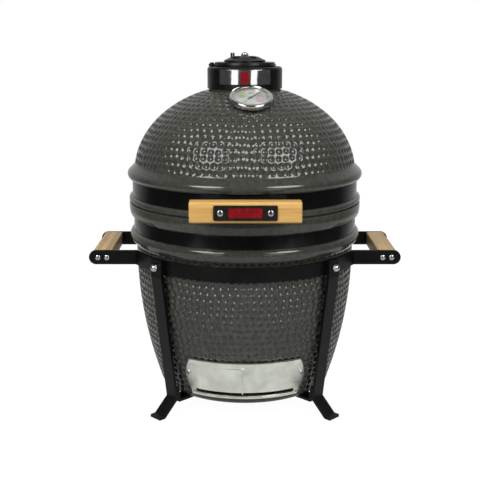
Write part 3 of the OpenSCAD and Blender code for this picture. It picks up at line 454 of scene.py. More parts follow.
def bamboo_material(name, dark, light, along, across):
    """Laminated bamboo: strips side by side, each with its own tone, and long fibres."""
    made, tree, sockets = start_material(name, light, 0.45, specular=0.3)
    strip_w, fibre_w, band_w = 6.5 * MM, 1.1 * MM, 9 * MM
    fibre_stretch, band_stretch = 30, 5
    strip_share, fibre_share, band_share = 0.3, 0.45, 0.25
    coords = tree.nodes.new("ShaderNodeTexCoord")
    split = tree.nodes.new("ShaderNodeSeparateXYZ")
    tree.links.new(coords.outputs["Object"], split.inputs["Vector"])
    strip = tree.nodes.new("ShaderNodeTexWhiteNoise")
    strip.noise_dimensions = "1D"
    tree.links.new(calculate(tree, "SNAP", split.outputs[across], strip_w), strip.inputs["W"])
    fibres = noise(tree, fibre_w, [fibre_stretch if axis == along else 1 for axis in "XYZ"], detail=5.0)
    bands = noise(tree, band_w, [band_stretch if axis == along else 1 for axis in "XYZ"], detail=2.0)
    total = calculate(tree, "MULTIPLY", strip.outputs["Value"], strip_share)
    for factor, share in ((fibres, fibre_share), (bands, band_share)):
        total = calculate(tree, "ADD", total, calculate(tree, "MULTIPLY", factor, share))
    tone(tree, total, sockets["Base Color"], dark, light, 0.3, 0.68)
    spread(tree, fibres, sockets["Roughness"], 0.38, 0.55)
    relief(tree, fibres, sockets, 0.06 * MM, 0.6)
    return made


def glass_material():
    """Clear glass with faint smears."""
    made, tree, sockets = start_material("lens_glass", (250, 252, 252), 0.02)
    sockets["Transmission Weight"].default_value = 1.0
    sockets["IOR"].default_value = 1.45
    spread(tree, noise(tree, 30 * MM), sockets["Roughness"], 0.01, 0.04)
    return made


PAINT = {
    "glaze": glaze_material(),
    "refractory": mottled("refractory", (158, 138, 112), (196, 178, 150), (0.85, 0.97), 9 * MM,
                          1.6 * MM, 0.25 * MM, specular=0.2, detail=8.0),
    "coal_iron": mottled("coal_iron", (34, 33, 32), (54, 52, 50), (0.6, 0.85), 7 * MM,
                         1.2 * MM, 0.15 * MM),
    "grate_steel": mottled("grate_steel", (150, 149, 146), (190, 190, 187), (0.25, 0.4), 12 * MM,
                           0.6 * MM, 0.02 * MM, metallic=1.0),
    "felt": mottled("felt", (74, 74, 68), (102, 101, 94), (0.9, 1.0), 1.6 * MM, 0.9 * MM, 0.3 * MM,
                    specular=0.1, detail=8.0),
    "band_black": mottled("band_black", (5, 5, 5), (9, 9, 8), (0.1, 0.2), 25 * MM,
                          3 * MM, 0.015 * MM),
    "hinge_black": mottled("hinge_black", (8, 8, 8), (14, 14, 13), (0.3, 0.42), 15 * MM,
                           0.7 * MM, 0.03 * MM, specular=0.3),
    "spring_steel": mottled("spring_steel", (112, 112, 110), (150, 150, 147), (0.25, 0.4), 5 * MM,
                            0.5 * MM, 0.01 * MM, metallic=1.0),
    "stainless": brushed_material("stainless", (218, 221, 210), (249, 252, 241), (0.28, 0.4),
                                  (40, 40, 1)),
    "fastener_steel": mottled("fastener_steel", (186, 187, 186), (218, 219, 217), (0.12, 0.24), 4 * MM,
                              0.4 * MM, 0.01 * MM, metallic=1.0),
    "frame_black": mottled("frame_black", (6, 6, 6), (11, 11, 10), (0.34, 0.46), 18 * MM,
                           0.6 * MM, 0.035 * MM, specular=0.18),
    "side_wood": bamboo_material("side_wood", (158, 129, 88), (192, 164, 121), "Y", "X"),
    "handle_wood": bamboo_material("handle_wood", (184, 139, 73), (216, 176, 107), "X", "Z"),
    "plate_black": mottled("plate_black", (17, 15, 13), (28, 25, 22), (0.25, 0.4), 6 * MM,
                           0.5 * MM, 0.02 * MM),
    "red_enamel": mottled("red_enamel", (106, 11, 18), (132, 18, 25), (0.15, 0.28), 5 * MM,
                          0.8 * MM, 0.01 * MM),
    "vent_iron": mottled("vent_iron", (8, 8, 8), (15, 15, 14), (0.26, 0.38), 8 * MM,
                         0.9 * MM, 0.05 * MM, specular=0.35),
    "polished_steel": mottled("polished_steel", (205, 206, 205), (226, 227, 226), (0.06, 0.14), 9 * MM,
                              0.5 * MM, 0.004 * MM, metallic=1.0),
    "dial_white": mottled("dial_white", (226, 227, 219), (238, 239, 232), (0.4, 0.5), 9 * MM,
                          0.5 * MM, 0.005 * MM),
    "needle_black": mottled("needle_black", (24, 24, 25), (38, 38, 39), (0.3, 0.45), 3 * MM,
                            0.4 * MM, 0.01 * MM),
    "lens_glass": glass_material(),
    "dial_green": mottled("dial_green", (202, 214, 140), (216, 226, 166), (0.4, 0.5), 4 * MM),
    "dial_red": mottled("dial_red", (222, 198, 198), (232, 212, 210), (0.4, 0.5), 4 * MM),
    "dial_ink": mottled("dial_ink", (110, 110, 108), (130, 130, 128), (0.4, 0.5), 3 * MM),
}


# Place of the thermometer, from the joint of its needle: Z out of the dome, X to the right

STEM_HOLE_R = 4.5 * MM
needle_joint = next(j for j in frame["joints"] if j["name"] == "needle_turn")
therm_out = Vector(needle_joint["axis"]).normalized()
therm_right = Vector((-therm_out.y, therm_out.x, 0)).normalized()
therm_place = Matrix.Translation(needle_joint["pos_m"]) @ Matrix(
    [therm_right, therm_out.cross(therm_right), therm_out]).transposed().to_4x4()


# Ceramic skins with their pressed dimples

def dimple_depths(points, turns, rng):
    """How deep the dimples lie, from 0 to 1: one row per outline point, one column per turn."""
    along = lengths_along(points)
    depths = np.zeros((len(points), len(turns)))
    row = DIMPLE_R
    while row < along[-1] - LAST_ROW:
        radius = np.interp(row, along, points[:, 0])
        count = int(2 * math.pi * radius / DIMPLE_PITCH)
        slips = rng.normal(0, DIMPLE_SLIP, (count, 2))
        reaches = DIMPLE_R * rng.uniform(*DIMPLE_SPREAD, count)
        near = np.abs(along - row) < DIMPLE_REACH
        places = turns / (2 * math.pi) * count + rng.uniform(0, 1)
        for neighbour in (0, 1):
            index = np.floor(places).astype(int) + neighbour
            across = (places - index) * 2 * math.pi * radius / count
            index %= count
            side = across[None, :] - slips[index, 0][None, :]
            up = (along[near] - row)[:, None] - slips[index, 1][None, :]
            cup = np.clip(1 - (side**2 + up**2) / reaches[index][None, :] ** 2, 0, 1)
            depths[near] = np.maximum(depths[near], cup**DIMPLE_FALL)
        row += DIMPLE_ROW
    return depths


def skin_mesh(name, parts, closed):
    """A shell of revolution. Each part of its outline is (points, depth of dimples, material number)."""
    rng = np.random.default_rng(SEED)
    turns = np.linspace(0, 2 * math.pi, SEGMENTS, endpoint=False)
    outline = np.concatenate([points for points, _, _ in parts])
    depths = np.concatenate([depth * dimple_depths(points, turns, rng) if depth
                             else np.zeros((len(points), SEGMENTS)) for points, depth, _ in parts])
    heading = np.gradient(outline, axis=0)
    heading /= np.linalg.norm(heading, axis=1)[:, None]
    r = outline[:, :1] - heading[:, 1:] * depths
    z = outline[:, 1:] + heading[:, :1] * depths
    mesh = revolve(name, r, z, closed)
    numbers = np.concatenate([np.full(len(points), number) for points, _, number in parts])
    if closed:
        faces = np.repeat(numbers, SEGMENTS)
    else:
        faces = np.concatenate([np.repeat(numbers[1:-2], SEGMENTS), np.tile(numbers[[0, -1]], SEGMENTS)])
    for slot in ("glaze", "refractory"):
        mesh.materials.append(PAINT[slot])
    mesh.polygons.foreach_set("material_index", faces.astype(np.int32))
    return mesh


def sector(inner, outer, start, end, steps=24):
    """Outline of a ring sector seen from above. Angles are from the front, positive to the right."""
    return np.concatenate([arc(0, 0, outer, start - 90, end - 90, steps),
                           arc(0, 0, inner, end - 90, start - 90, steps)])


# Openings of the draft vent. Angles are in degrees from the front

draft_lo, draft_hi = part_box("draft_frame")
RAIL_W = 8 * MM
RAIL_LIP = 3 * MM
WINDOW_ANG = 23
WINDOW_OFF = 1
DOOR_LAP = 2.5
LOWER_LIP_H = 2.8 * MM
SLOT_H = 5.6 * MM
SLOT_HALF = 31
GROOVE_DEPTH = 8 * MM
cut_in_r = 0.5 * body_r
cut_out_r = 1.3 * body_r
window_mid = -WINDOW_ANG / 2 - DOOR_LAP - WINDOW_OFF
window_z0 = draft_lo.z + RAIL_W + RAIL_LIP
window_z1 = draft_hi.z - RAIL_W - RAIL_LIP


def window_cutter(inner):
    """A block that clears the draft window from a radius outwards."""
    outline = sector(inner, cut_out_r, window_mid - WINDOW_ANG / 2, window_mid + WINDOW_ANG / 2)
    return extrude("window", outline, window_z0, window_z1)


def slot_cutter(inner):
    """A block that clears the air slot above the lower rail from a radius outwards."""
    low = draft_lo.z + LOWER_LIP_H
    return extrude("slot", sector(inner, cut_out_r, -SLOT_HALF, SLOT_HALF), low, low + SLOT_H)


# Ceramic pieces

def base_skin():
    """Base: foot, dimpled side, smooth bead, band groove and lip, with a plain inside."""
    side_z = base_z + FOOT_ROUND
    foot_r = side_radius(side_z) - FOOT_ROUND
    heights = np.linspace(side_z, belly_z, 200)
    bead_r = body_r + BEAD_OUT
    bead_foot_z = bead_mid_z - BEAD_RUN
    low, high = base_band_lo.z, base_band_hi.z
    run = bezier([body_r, bead_foot_z], [body_r, bead_foot_z + BEAD_EASE],
                 [bead_r, bead_mid_z - BEAD_EASE], [bead_r, bead_mid_z], 40)
    rough = run[:, 1] < low - BEAD_SMOOTH
    side = np.concatenate([np.column_stack([side_radius(heights), heights]), run[rough]])
    bead = bezier([bead_r, bead_mid_z], [bead_r, low - BEAD_SHOULDER],
                  [base_groove_r + GROOVE_EASE, low], [base_groove_r, low], 10)
    lip_mid_z = high + LIP_SHARE * (rim_z - high)
    lip = bezier([base_groove_r, high], [base_groove_r + LIP_FOOT_OUT, high + LIP_FOOT_UP],
                 [lip_r, lip_mid_z - LIP_EASE], [lip_r, lip_mid_z], 14)
    edge = arc(lip_r - LIP_EDGE, rim_z - LIP_EDGE, LIP_EDGE, 0, 90, 5)
    inner_z = np.linspace(belly_z, hearth_z, 8)
    inner = np.column_stack([side_radius(inner_z) - WALL, inner_z])
    parts = [(np.array([[0, base_z]]), 0, 0),
             (arc(foot_r, side_z, FOOT_ROUND, -90, 0, 8)[:-1], 0, 0),
             (resample(side, SKIN_STEP), BASE_DIMPLE, 0),
             (np.concatenate([run[~rough], bead[1:], lip, edge]), 0, 0),
             (np.concatenate([[[body_r - WALL, rim_z]], inner]), 0, 1),
             (np.array([[0, hearth_z]]), 0, 1)]
    groove = slot_cutter(side_radius(draft_lo.z) - GROOVE_DEPTH)
    return cut_away(skin_mesh("base_glaze", parts, False), window_cutter((body_r - WALL) / 2), groove)


def lid_skin():
    """Lid: lip, band groove, round flange and dimpled dome, with a plain inside and a chimney."""
    edge = arc(lip_r - LIP_EDGE, lid_z + LIP_EDGE, LIP_EDGE, -90, 0, 5)
    lip_mid_z = lid_z + LID_LIP_SHARE * lid_lip_h
    band_z = lid_band_lo.z
    lip = bezier([lip_r, lip_mid_z], [lip_r, band_z - LID_LIP_EASE],
                 [lid_groove_r + GROOVE_EASE, band_z], [lid_groove_r, band_z], 10)
    nose = np.array([dome_r + FLANGE_OUT - NOSE_R, flange_z + NOSE_R])
    rim = arc(*nose, NOSE_R, -90, NOSE_END, 14)
    dome_end = np.array([dome_radius(dome_z + FLANGE_RUN), dome_z + FLANGE_RUN])
    run = bezier(rim[-1], rim[-1] + FLANGE_LEAVE, dome_end + FLANGE_ARRIVE, dome_end, 16)
    crown_turn = math.asin((crown_z - dome_z) / dome_rise)
    turns = np.linspace(math.asin(FLANGE_RUN / dome_rise), crown_turn, 300)
    dome = np.column_stack([dome_r * np.cos(turns), dome_z + dome_rise * np.sin(turns)])
    in_r = dome_r - WALL
    turns = np.linspace(math.acos(CHIMNEY_R / in_r), 0, 24)
    inside = np.column_stack([in_r * np.cos(turns), dome_z + (dome_rise - WALL) * np.sin(turns)])
    parts = [(np.concatenate([edge, lip, [[lid_groove_r, flange_z]], rim, run[1:-1]]), 0, 0),
             (resample(dome, SKIN_STEP), DOME_DIMPLE, 0),
             (np.array([[CHIMNEY_R, crown_z]]), 0, 1),
             (np.concatenate([inside, [[in_r, lid_z]]]), 0, 1)]
    stem = extrude("stem", polygon(STEM_HOLE_R, 24), -2 * WALL, WALL, therm_place)
    return cut_away(skin_mesh("lid_glaze", parts, True), stem)


def add_ceramic():
    add_piece("base_glaze", base_skin(), "base", "glaze", ["base_shell"], sharp_deg=45)
    add_piece("lid_glaze", lid_skin(), "lid", "glaze", ["lid_shell"], sharp_deg=45)


# Wooden bars

def wooden_bar(name, node, along, edge_r, end_r):
    """A bar that fills a node's box, with round edges along it and softer corners at its ends."""
    lo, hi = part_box(node)
    size = hi - lo
    if along == "X":
        outline = rounded_rect(size.y, size.z, edge_r)
        turn = Matrix(((0, 0, 1, 0), (1, 0, 0, 0), (0, 1, 0, 0), (0, 0, 0, 1)))
        length = size.x
    else:
        outline = rounded_rect(size.z, size.x, edge_r)
        turn = Matrix(((0, 1, 0, 0), (0, 0, 1, 0), (1, 0, 0, 0), (0, 0, 0, 1)))
        length = size.y
    mesh = extrude(name, outline, -length / 2, length / 2, Matrix.Translation((lo + hi) / 2) @ turn)
    return bevel_edges(mesh, end_r, 4, 60)


def add_wood():
    bar = wooden_bar("lid_bar", "lid_handle", "X", 3 * MM, 2 * MM)
    add_piece("lid_bar", bar, "lid", "handle_wood", ["lid_handle"])
    for side in ("left", "right"):
        node = "side_handle_" + side
        bar = wooden_bar("side_bar_" + side, node, "Y", 2.5 * MM, 0.8 * MM)
        add_piece("side_bar_" + side, bar, "base", "side_wood", [node])


# Screws, nuts and rivets, placed where the frame has them

def islands(node):
    """The points of each separate solid in a node, in the order of the node's own points."""
    work = bmesh.new()
    work.from_mesh(nodes[node].data)
    bmesh.ops.remove_doubles(work, verts=work.verts, dist=0.005 * MM)
    seen = set()
    found = []
    for first in work.verts:
        if first in seen:
            continue
        seen.add(first)
        group = [first]
        for vert in group:
            for edge in vert.link_edges:
                other = edge.other_vert(vert)
                if other not in seen:
                    seen.add(other)
                    group.append(other)
        found.append(np.array([v.co[:] for v in group]))
    work.free()
    return found


def facing(point, out):
    """A place with Z along a direction."""
    return Matrix.Translation(point) @ Vector(out).to_track_quat("Z", "Y").to_matrix().to_4x4()


def tip_place(points, out, depth):
    """The place on an island's own axis that lies a depth below its outermost point."""
    out = Vector(out).normalized()
    middle = Vector((points.min(axis=0) + points.max(axis=0)) / 2)
    reach = (points @ np.array(out)).max()
    return facing(middle + out * (reach - depth - middle.dot(out)), out)


def cross_screw(radius, height):
    """A pan head with a cross recess, standing on z = 0, with the start of its shank."""
    shank_r = 0.45 * radius
    rim_r = 0.45 * height
    rim_up = 0.35 * height
    slot_l, slot_w = 0.62 * radius, 0.17 * radius
    slot_z = 0.42 * height
    shank = [[0, -height], [shank_r, -height], [shank_r, 0], [radius, 0]]
    rim = arc(radius - rim_r, rim_up, rim_r, 0, 40, 4)
    top = bezier(rim[-1], rim[-1] + [-0.2 * radius, 0.2 * height], [0.4 * radius, height], [0, height], 6)
    head = turned("head", np.concatenate([shank, rim, top[1:]]), 32)
    bars = []
    for w, h in ((slot_l, slot_w), (slot_w, slot_l)):
        outline = [(-w, -h), (w, -h), (w, h), (-w, h)]
        bars.append(extrude("slot", outline, slot_z, 1.5 * height))
    return cut_away(head, *bars)


def dome_nut(radius, height, dome):
    """A hexagon nut with a round cap, standing on z = 0."""
    hexagon = extrude("hexagon", polygon(radius, 6), 0, height)
    bevel_edges(hexagon, 0.09 * radius, 2)
    cap_r = 0.82 * radius
    foot = [[0, 0.5 * height], [cap_r, 0.5 * height]]
    cap = turned("cap", np.concatenate([foot, quarter_dome(cap_r, height, dome, 8)]), 32)
    return join_meshes("dome_nut", [hexagon, cap])


def round_rivet(radius, height):
    """A round rivet head, standing on z = 0, with the start of its shank."""
    shank_r = 0.6 * radius
    shank = [[0, -height], [shank_r, -height], [shank_r, 0]]
    return turned("rivet", np.concatenate([shank, quarter_dome(radius, 0, height, 7)]), 28)


def to_front(middle):
    """Straight to the front."""
    return (0, -1, 0)


def to_ends(middle):
    """To the front or the back, whichever is nearer."""
    return (0, math.copysign(1, middle[1]), 0)


def outward(middle):
    """Level, from the grill's axis to a point."""
    return (middle[0], middle[1], 0)


def off_vent(middle):
    """Square to the leaning sheet of the draft vent."""
    return (middle[0], middle[1], -vent_slope * math.hypot(middle[0], middle[1]))


def upward(middle):
    return (0, 0, 1)


def add_group(name, node, shape, height, out_of, body, slot="fastener_steel"):
    """One piece with a copy of a shape for each solid of a node."""
    copies = []
    for points in islands(node):
        copies.append(placed(shape, tip_place(points, out_of(points.mean(axis=0)), height)))
    add_piece(name, join_meshes(name, copies), body, slot, [node])


def add_fasteners():
    plate_h, bar_h, vent_h, rivet_h = 1.8 * MM, 2.6 * MM, 2.2 * MM, 2.4 * MM
    corner_h, cap_h = 4 * MM, 2.6 * MM
    rivet = round_rivet(4 * MM, rivet_h)
    corner_nut = dome_nut(5.7 * MM, corner_h, corner_h)
    cap_nut = dome_nut(5.4 * MM, cap_h, cap_h)
    add_group("plate_screws", "handle_screws", cross_screw(3.8 * MM, plate_h), plate_h, to_front, "lid")
    add_group("bar_screws", "side_handle_screws", cross_screw(3.8 * MM, bar_h), bar_h, to_ends, "base")
    add_group("vent_screws", "draft_screws", cross_screw(3.4 * MM, vent_h), vent_h, off_vent, "base")
    add_group("corner_nuts", "leg_dome_nuts", corner_nut, 2 * corner_h, outward, "base")
    add_group("base_rivet_heads", "base_rivets", rivet, rivet_h, outward, "base", "hinge_black")
    add_group("lid_rivet_heads", "lid_rivets", rivet, rivet_h, outward, "lid", "hinge_black")
    add_group("wheel_cap_nut", "wheel_nut", cap_nut, 2 * cap_h, upward, "cover")


# Hinge springs

def spring_path(hinge_y, hinge_z, sign):
    """A leg on the lower shelf, the curls round the pin and a leg under the upper shelf."""
    radius = 8 * MM
    start_x = 3 * MM
    pitch = 3.2 * MM
    turns = 5.5
    leg_l = 20 * MM
    angles = np.radians(np.linspace(-90, -90 + 360 * turns, int(32 * turns) + 1))
    x = start_x + pitch * np.linspace(0, turns, len(angles))
    curls = np.column_stack([x, hinge_y + radius * np.cos(angles), hinge_z + radius * np.sin(angles)])
    lower = [[start_x, hinge_y - leg_l * t, hinge_z - radius] for t in (1, 0.66, 0.33)]
    upper = [[x[-1], hinge_y - leg_l * t, hinge_z + radius] for t in (0.33, 0.66, 1)]
    return np.concatenate([lower, curls, upper]) * [sign, 1, 1]


def add_springs():
    lo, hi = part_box("hinge_pin")
    middle = (lo + hi) / 2
    wire_r = 1.2 * MM
    coils = [sweep_tube("coil", spring_path(middle.y, middle.z, sign), wire_r) for sign in (1, -1)]
    add_piece("spring_coils", join_meshes("spring_coils", coils), "base", "spring_steel",
              ["hinge_springs"])


# Draft vent: a rolled frame with two folded rails, and a sliding door

SHEET_T = 1.5 * MM
SHEET_SEAT = 0.2 * MM
SLIDE_CLEAR = 0.35 * MM
draft_h = draft_hi.z - draft_lo.z
vent_slope = (side_radius(draft_hi.z) - side_radius(draft_lo.z)) / draft_h
vent_bulge = BODY_ARC - math.sqrt(BODY_ARC**2 - (draft_h / 2) ** 2)
DRAFT_REACH = 81.5 * MM
DRAFT_END_R = 54.5 * MM
DRAFT_END_UP = 0.55
DOOR_RISE = 4 * MM
sheet_out = SHEET_SEAT + SHEET_T
door_in = sheet_out + SLIDE_CLEAR
door_out = door_in + SHEET_T
lip_in = door_out + SLIDE_CLEAR
rail_out = lip_in + SHEET_T
door_lo, door_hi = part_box("draft_door")


def vent_radius(offset, z):
    """Radius of a sheet at an offset from the cone that the vent is rolled to."""
    return side_radius(draft_lo.z) + vent_bulge + (z - draft_lo.z) * vent_slope + offset


def vent_point(angle, offset, z):
    """A point at an angle from the front on a rolled sheet."""
    r = vent_radius(offset, z)
    return (r * math.sin(math.radians(angle)), -r * math.cos(math.radians(angle)), z)


def vent_half(offset, z):
    """Half angle of the frame at a height: its ends are round, seen from the front."""
    up = z - draft_lo.z - DRAFT_END_UP * draft_h
    reach = DRAFT_REACH - DRAFT_END_R + math.sqrt(DRAFT_END_R**2 - up**2)
    return math.degrees(math.asin(reach / vent_radius(offset, z)))


def dense(outline, step):
    """A closed outline with extra points along its straight sides."""
    points = []
    for p, q in zip(outline, np.roll(outline, -1, axis=0)):
        count = max(1, int(np.linalg.norm(q - p) / step))
        points += [p + (q - p) * i / count for i in range(count)]
    return np.array(points)


def rolled(name, section, columns=97):
    """A section of offsets and heights, rolled across the whole vent."""
    section = dense(np.asarray(section), 2 * MM)
    points = [vent_point(t * vent_half(offset, z), offset, z)
              for t in np.linspace(-1, 1, columns) for offset, z in section]
    faces = [tuple(reversed(f)) for f in tube_faces(columns, len(section))]
    mesh = make_mesh(name, points, faces)
    return bevel_edges(mesh, 0.35 * MM, 2, 50)


def frame_mesh():
    """The frame's sheet, with its window and slot, and a rail folded over its top and bottom."""
    low, high = draft_lo.z, draft_hi.z
    lower_lip = low + LOWER_LIP_H
    upper_lip = high - RAIL_W
    sheet = rolled("sheet", [(SHEET_SEAT, low), (sheet_out, low), (sheet_out, high), (SHEET_SEAT, high)])
    lower = rolled("lower_rail", [(sheet_out, low), (rail_out, low), (rail_out, lower_lip),
                                  (lip_in, lower_lip), (lip_in, low + SHEET_T),
                                  (sheet_out, low + SHEET_T)])
    upper = rolled("upper_rail", [(sheet_out, high - SHEET_T), (lip_in, high - SHEET_T),
                                  (lip_in, upper_lip), (rail_out, upper_lip), (rail_out, high),
                                  (sheet_out, high)])
    sheet = cut_away(sheet, window_cutter(cut_in_r), slot_cutter(cut_in_r))
    return join_meshes("vent_frame", [sheet, lower, upper])


def door_panel(name, path, z0, z1, rows=12):
    """A sheet that follows a plan path of angles and offsets, upright between two heights."""
    heights = np.linspace(z0, z1, rows)
    points = [vent_point(angle, offset, z) for z in heights for angle, offset in path]
    return make_mesh(name, points, tube_faces(rows, len(path)))


def door_mesh():
    """The door's sheet, a raised strip along its free edge and a finger lip on that edge."""
    half = WINDOW_ANG / 2 + DOOR_LAP
    start, end = window_mid - half, window_mid + half
    angles = np.linspace(start, end, 50)
    sheet = [(a, door_out) for a in reversed(angles)] + [(a, door_in) for a in angles]
    strip_ang = 9.5
    pad = np.linspace(end - strip_ang, end - 0.2, 14)
    pad_in, pad_out = door_in + 0.2 * MM, door_out + 0.7 * MM
    strip = [(a, pad_out) for a in reversed(pad)] + [(a, pad_in) for a in pad]
    lip_ang = 0.75
    lip_side, lip_tip = door_out + 5.4 * MM, door_out + 6 * MM
    lip = [(end - lip_ang, door_in), (end, door_in), (end, lip_side), (end - 0.35, lip_tip),
           (end - lip_ang, lip_side)]
    margin = 4.2 * MM
    panels = [door_panel("sheet", sheet, door_lo.z + DOOR_RISE, door_hi.z),
              door_panel("strip", strip, door_lo.z + margin, door_hi.z - margin),
              door_panel("lip", list(reversed(lip)), door_lo.z + margin, door_hi.z - margin)]
    for panel in panels:
        bevel_edges(panel, 0.3 * MM, 2, 40)
    return join_meshes("vent_door", panels)


def add_draft_vent():
    add_piece("vent_frame", frame_mesh(), "base", "stainless", ["draft_frame"])
    add_piece("vent_door", door_mesh(), "door", "stainless", ["draft_door"])


# Thermometer face

DIAL_TOP = 3.7 * MM
DIAL_T = 0.6 * MM
DIAL_R = 25.3 * MM
DIAL_EDGE = 0.2 * MM
PRINT_T = 0.06 * MM
ZONE_R = 19.5 * MM
GREEN_R = 8.5 * MM
GREEN_FIRST, GREEN_LAST = 178, 118
RED_R = 6 * MM
RED_FIRST, RED_LAST = 62, -42
TICK_R = 24 * MM
LONG_TICK_R, SHORT_TICK_R = 20.9 * MM, 22.2 * MM
LONG_TICK_HALF, SHORT_TICK_HALF = 0.25 * MM, 0.14 * MM
SCALE_FIRST, SCALE_LAST = 225, -45
TICKS = 40
LONG_EVERY = 5
NUMBERS = 5
NUMBER_R = 13.2 * MM
NUMBER_H = 5 * MM


def dial_sector(name, inner, outer, start, end):
    """A printed ring sector. Angles are counter-clockwise from the right."""
    steps = max(3, int(abs(end - start) / 4))
    outline = np.concatenate([arc(0, 0, outer, start, end, steps), arc(0, 0, inner, end, start, steps)])
    return extrude(name, outline, DIAL_TOP, DIAL_TOP + PRINT_T, therm_place)


def dial_number(text, angle):
    """A plain number, upright, centred on its place."""
    curve = bpy.data.curves.new("number", "FONT")
    curve.body = text
    curve.size = NUMBER_H
    curve.align_x = "CENTER"
    curve.align_y = "CENTER"
    curve.extrude = PRINT_T / 2
    maker = make_object("number", curve)
    mesh = bpy.data.meshes.new_from_object(maker.evaluated_get(bpy.context.evaluated_depsgraph_get()))
    bpy.data.objects.remove(maker)
    turn = math.radians(angle)
    spot = (NUMBER_R * math.cos(turn), NUMBER_R * math.sin(turn), DIAL_TOP + PRINT_T / 2)
    mesh.transform(therm_place @ Matrix.Translation(spot))
    return mesh


def add_dial():
    """The face with two pale zones, a ring of ticks and plain numbers."""
    edge = arc(DIAL_R - DIAL_EDGE, DIAL_TOP - DIAL_EDGE, DIAL_EDGE, 0, 90, 3)
    low = DIAL_TOP - DIAL_T
    face = turned("dial_face", np.concatenate([[[0, low], [DIAL_R, low]], edge, [[0, DIAL_TOP]]]), 64)
    face.transform(therm_place)
    add_piece("dial_face", face, "lid", "dial_white", ["therm_dial"])
    green = dial_sector("dial_green", GREEN_R, ZONE_R, GREEN_FIRST, GREEN_LAST)
    add_piece("dial_green", green, "lid", "dial_white", paint="dial_green")
    red = dial_sector("dial_red", RED_R, ZONE_R, RED_FIRST, RED_LAST)
    add_piece("dial_red", red, "lid", "dial_white", paint="dial_red")
    sweep = SCALE_LAST - SCALE_FIRST
    marks = []
    for i in range(TICKS + 1):
        is_long = i % LONG_EVERY == 0
        angle = SCALE_FIRST + sweep * i / TICKS
        inner = LONG_TICK_R if is_long else SHORT_TICK_R
        half = math.degrees((LONG_TICK_HALF if is_long else SHORT_TICK_HALF) / inner)
        marks.append(dial_sector("tick", inner, TICK_R, angle - half, angle + half))
    for i in range(NUMBERS):
        angle = SCALE_FIRST + sweep * i / (NUMBERS - 1)
        marks.append(dial_number(str(100 * (i + 1)), angle))
    marks = join_meshes("dial_marks", marks)
    add_piece("dial_marks", marks, "lid", "dial_white", paint="dial_ink")


# Finish of the nodes that keep their own shape: paint and edge rounding

def finish_node(node, slot, edge):
    """Paints a node and rounds its edges by a width, or leaves them where the width is 0."""
    piece = nodes[node]
    piece.data.materials.clear()
    piece.data.materials.append(PAINT[slot])
    if edge:
        weld = piece.modifiers.new("weld", "WELD")
        weld.merge_threshold = 0.01 * MM
        bevel = piece.modifiers.new("edge", "BEVEL")
        bevel.width = edge
        bevel.segments = 2
        bevel.limit_method = "ANGLE"
        bevel.angle_limit = math.radians(40)
        bevel.harden_normals = True
        even = piece.modifiers.new("even", "WEIGHTED_NORMAL")
        even.keep_sharp = True


def finish_nodes():
    corners = [row + "_" + side for row in ("front", "rear") for side in ("left", "right")]
    stand = ["front_arc", "rear_arc", "cross_brace"]
    stand += ["leg_" + corner for corner in corners]
    stand += ["arm_" + corner for corner in corners]
    finishes = [
        ("frame_black", 0.6 * MM, stand),
        ("band_black", 0.3 * MM, ["base_band", "lid_band"]),
        ("hinge_black", 0.5 * MM, ["base_hinge_bracket", "lid_hinge_bracket", "handle_bracket"]),
        ("felt", 0.3 * MM, ["base_gasket", "lid_gasket", "vent_gasket"]),
        ("refractory", 1.5 * MM, ["fire_box", "fire_ring"]),
        ("vent_iron", 0.6 * MM, ["vent_cap", "swing_cover", "daisy_wheel", "cover_pivot"]),
        ("fastener_steel", 0.3 * MM, ["leg_bolts", "therm_nut", "wheel_bolt"]),
        ("spring_steel", 0.3 * MM, ["hinge_pin"]),
        ("polished_steel", 0.25 * MM, ["vent_crest", "therm_bezel", "therm_case"]),
        ("red_enamel", 0.15 * MM, ["handle_field", "crest_field"]),
        ("plate_black", 0.3 * MM, ["handle_plate"]),
        ("coal_iron", 0.6 * MM, ["charcoal_grate"]),
        ("grate_steel", 0, ["cooking_grate"]),
        ("needle_black", 0.1 * MM, ["therm_needle"]),
        ("lens_glass", 0.2 * MM, ["therm_lens"]),
    ]
    for slot, edge, names in finishes:
        for node in names:
            finish_node(node, slot, edge)


# Studio: camera, soft boxes, pale floor and white surroundings

CAMERA_LENS = 67.5
SENSOR_W = 36
CAMERA_PLACE = (-0.0067, -1.2836, 0.5202)
CAMERA_TILT = 77.07
FILL_LIGHT = 0.22
ROOM_LIGHT = 0.06
WALL_LIGHT = 0.58
WALL_SIDE = (0, 1, 0.25)
WALL_START, WALL_END = 0.32, 0.9
FLOOR_HALF = 0.9
FLOOR_GLOW = 1.13
FLOOR_GLOW_SHARE = 0.86
FLOOR_SHEEN = 0.65


def add_camera():
    """The photograph's view: in front of the grill, a little above and looking slightly down."""
    data = bpy.data.cameras.new("camera")
    data.lens = CAMERA_LENS
    data.sensor_width = SENSOR_W
    camera = make_object("camera", data)
    camera.location = CAMERA_PLACE
    camera.rotation_euler = (math.radians(CAMERA_TILT), 0, 0)
    bpy.context.scene.camera = camera


def add_softbox(name, shape, azimuth, elevation, distance, width, height, power):
    """A soft light that faces the middle of the grill. Azimuth 0 is in front, positive to the right."""
    data = bpy.data.lights.new(name, "AREA")
    data.shape = shape
    data.size = width
    data.size_y = height
    data.energy = power
    light = make_object(name, data)
    a, e = math.radians(azimuth), math.radians(elevation)
    out = Vector((math.sin(a) * math.cos(e), -math.cos(a) * math.cos(e), math.sin(e)))
    middle = Vector((0, 0, (cad_lo.z + cad_hi.z) / 2))
    light.matrix_world = facing(middle + out * distance, out)
    light.visible_camera = False
    return light


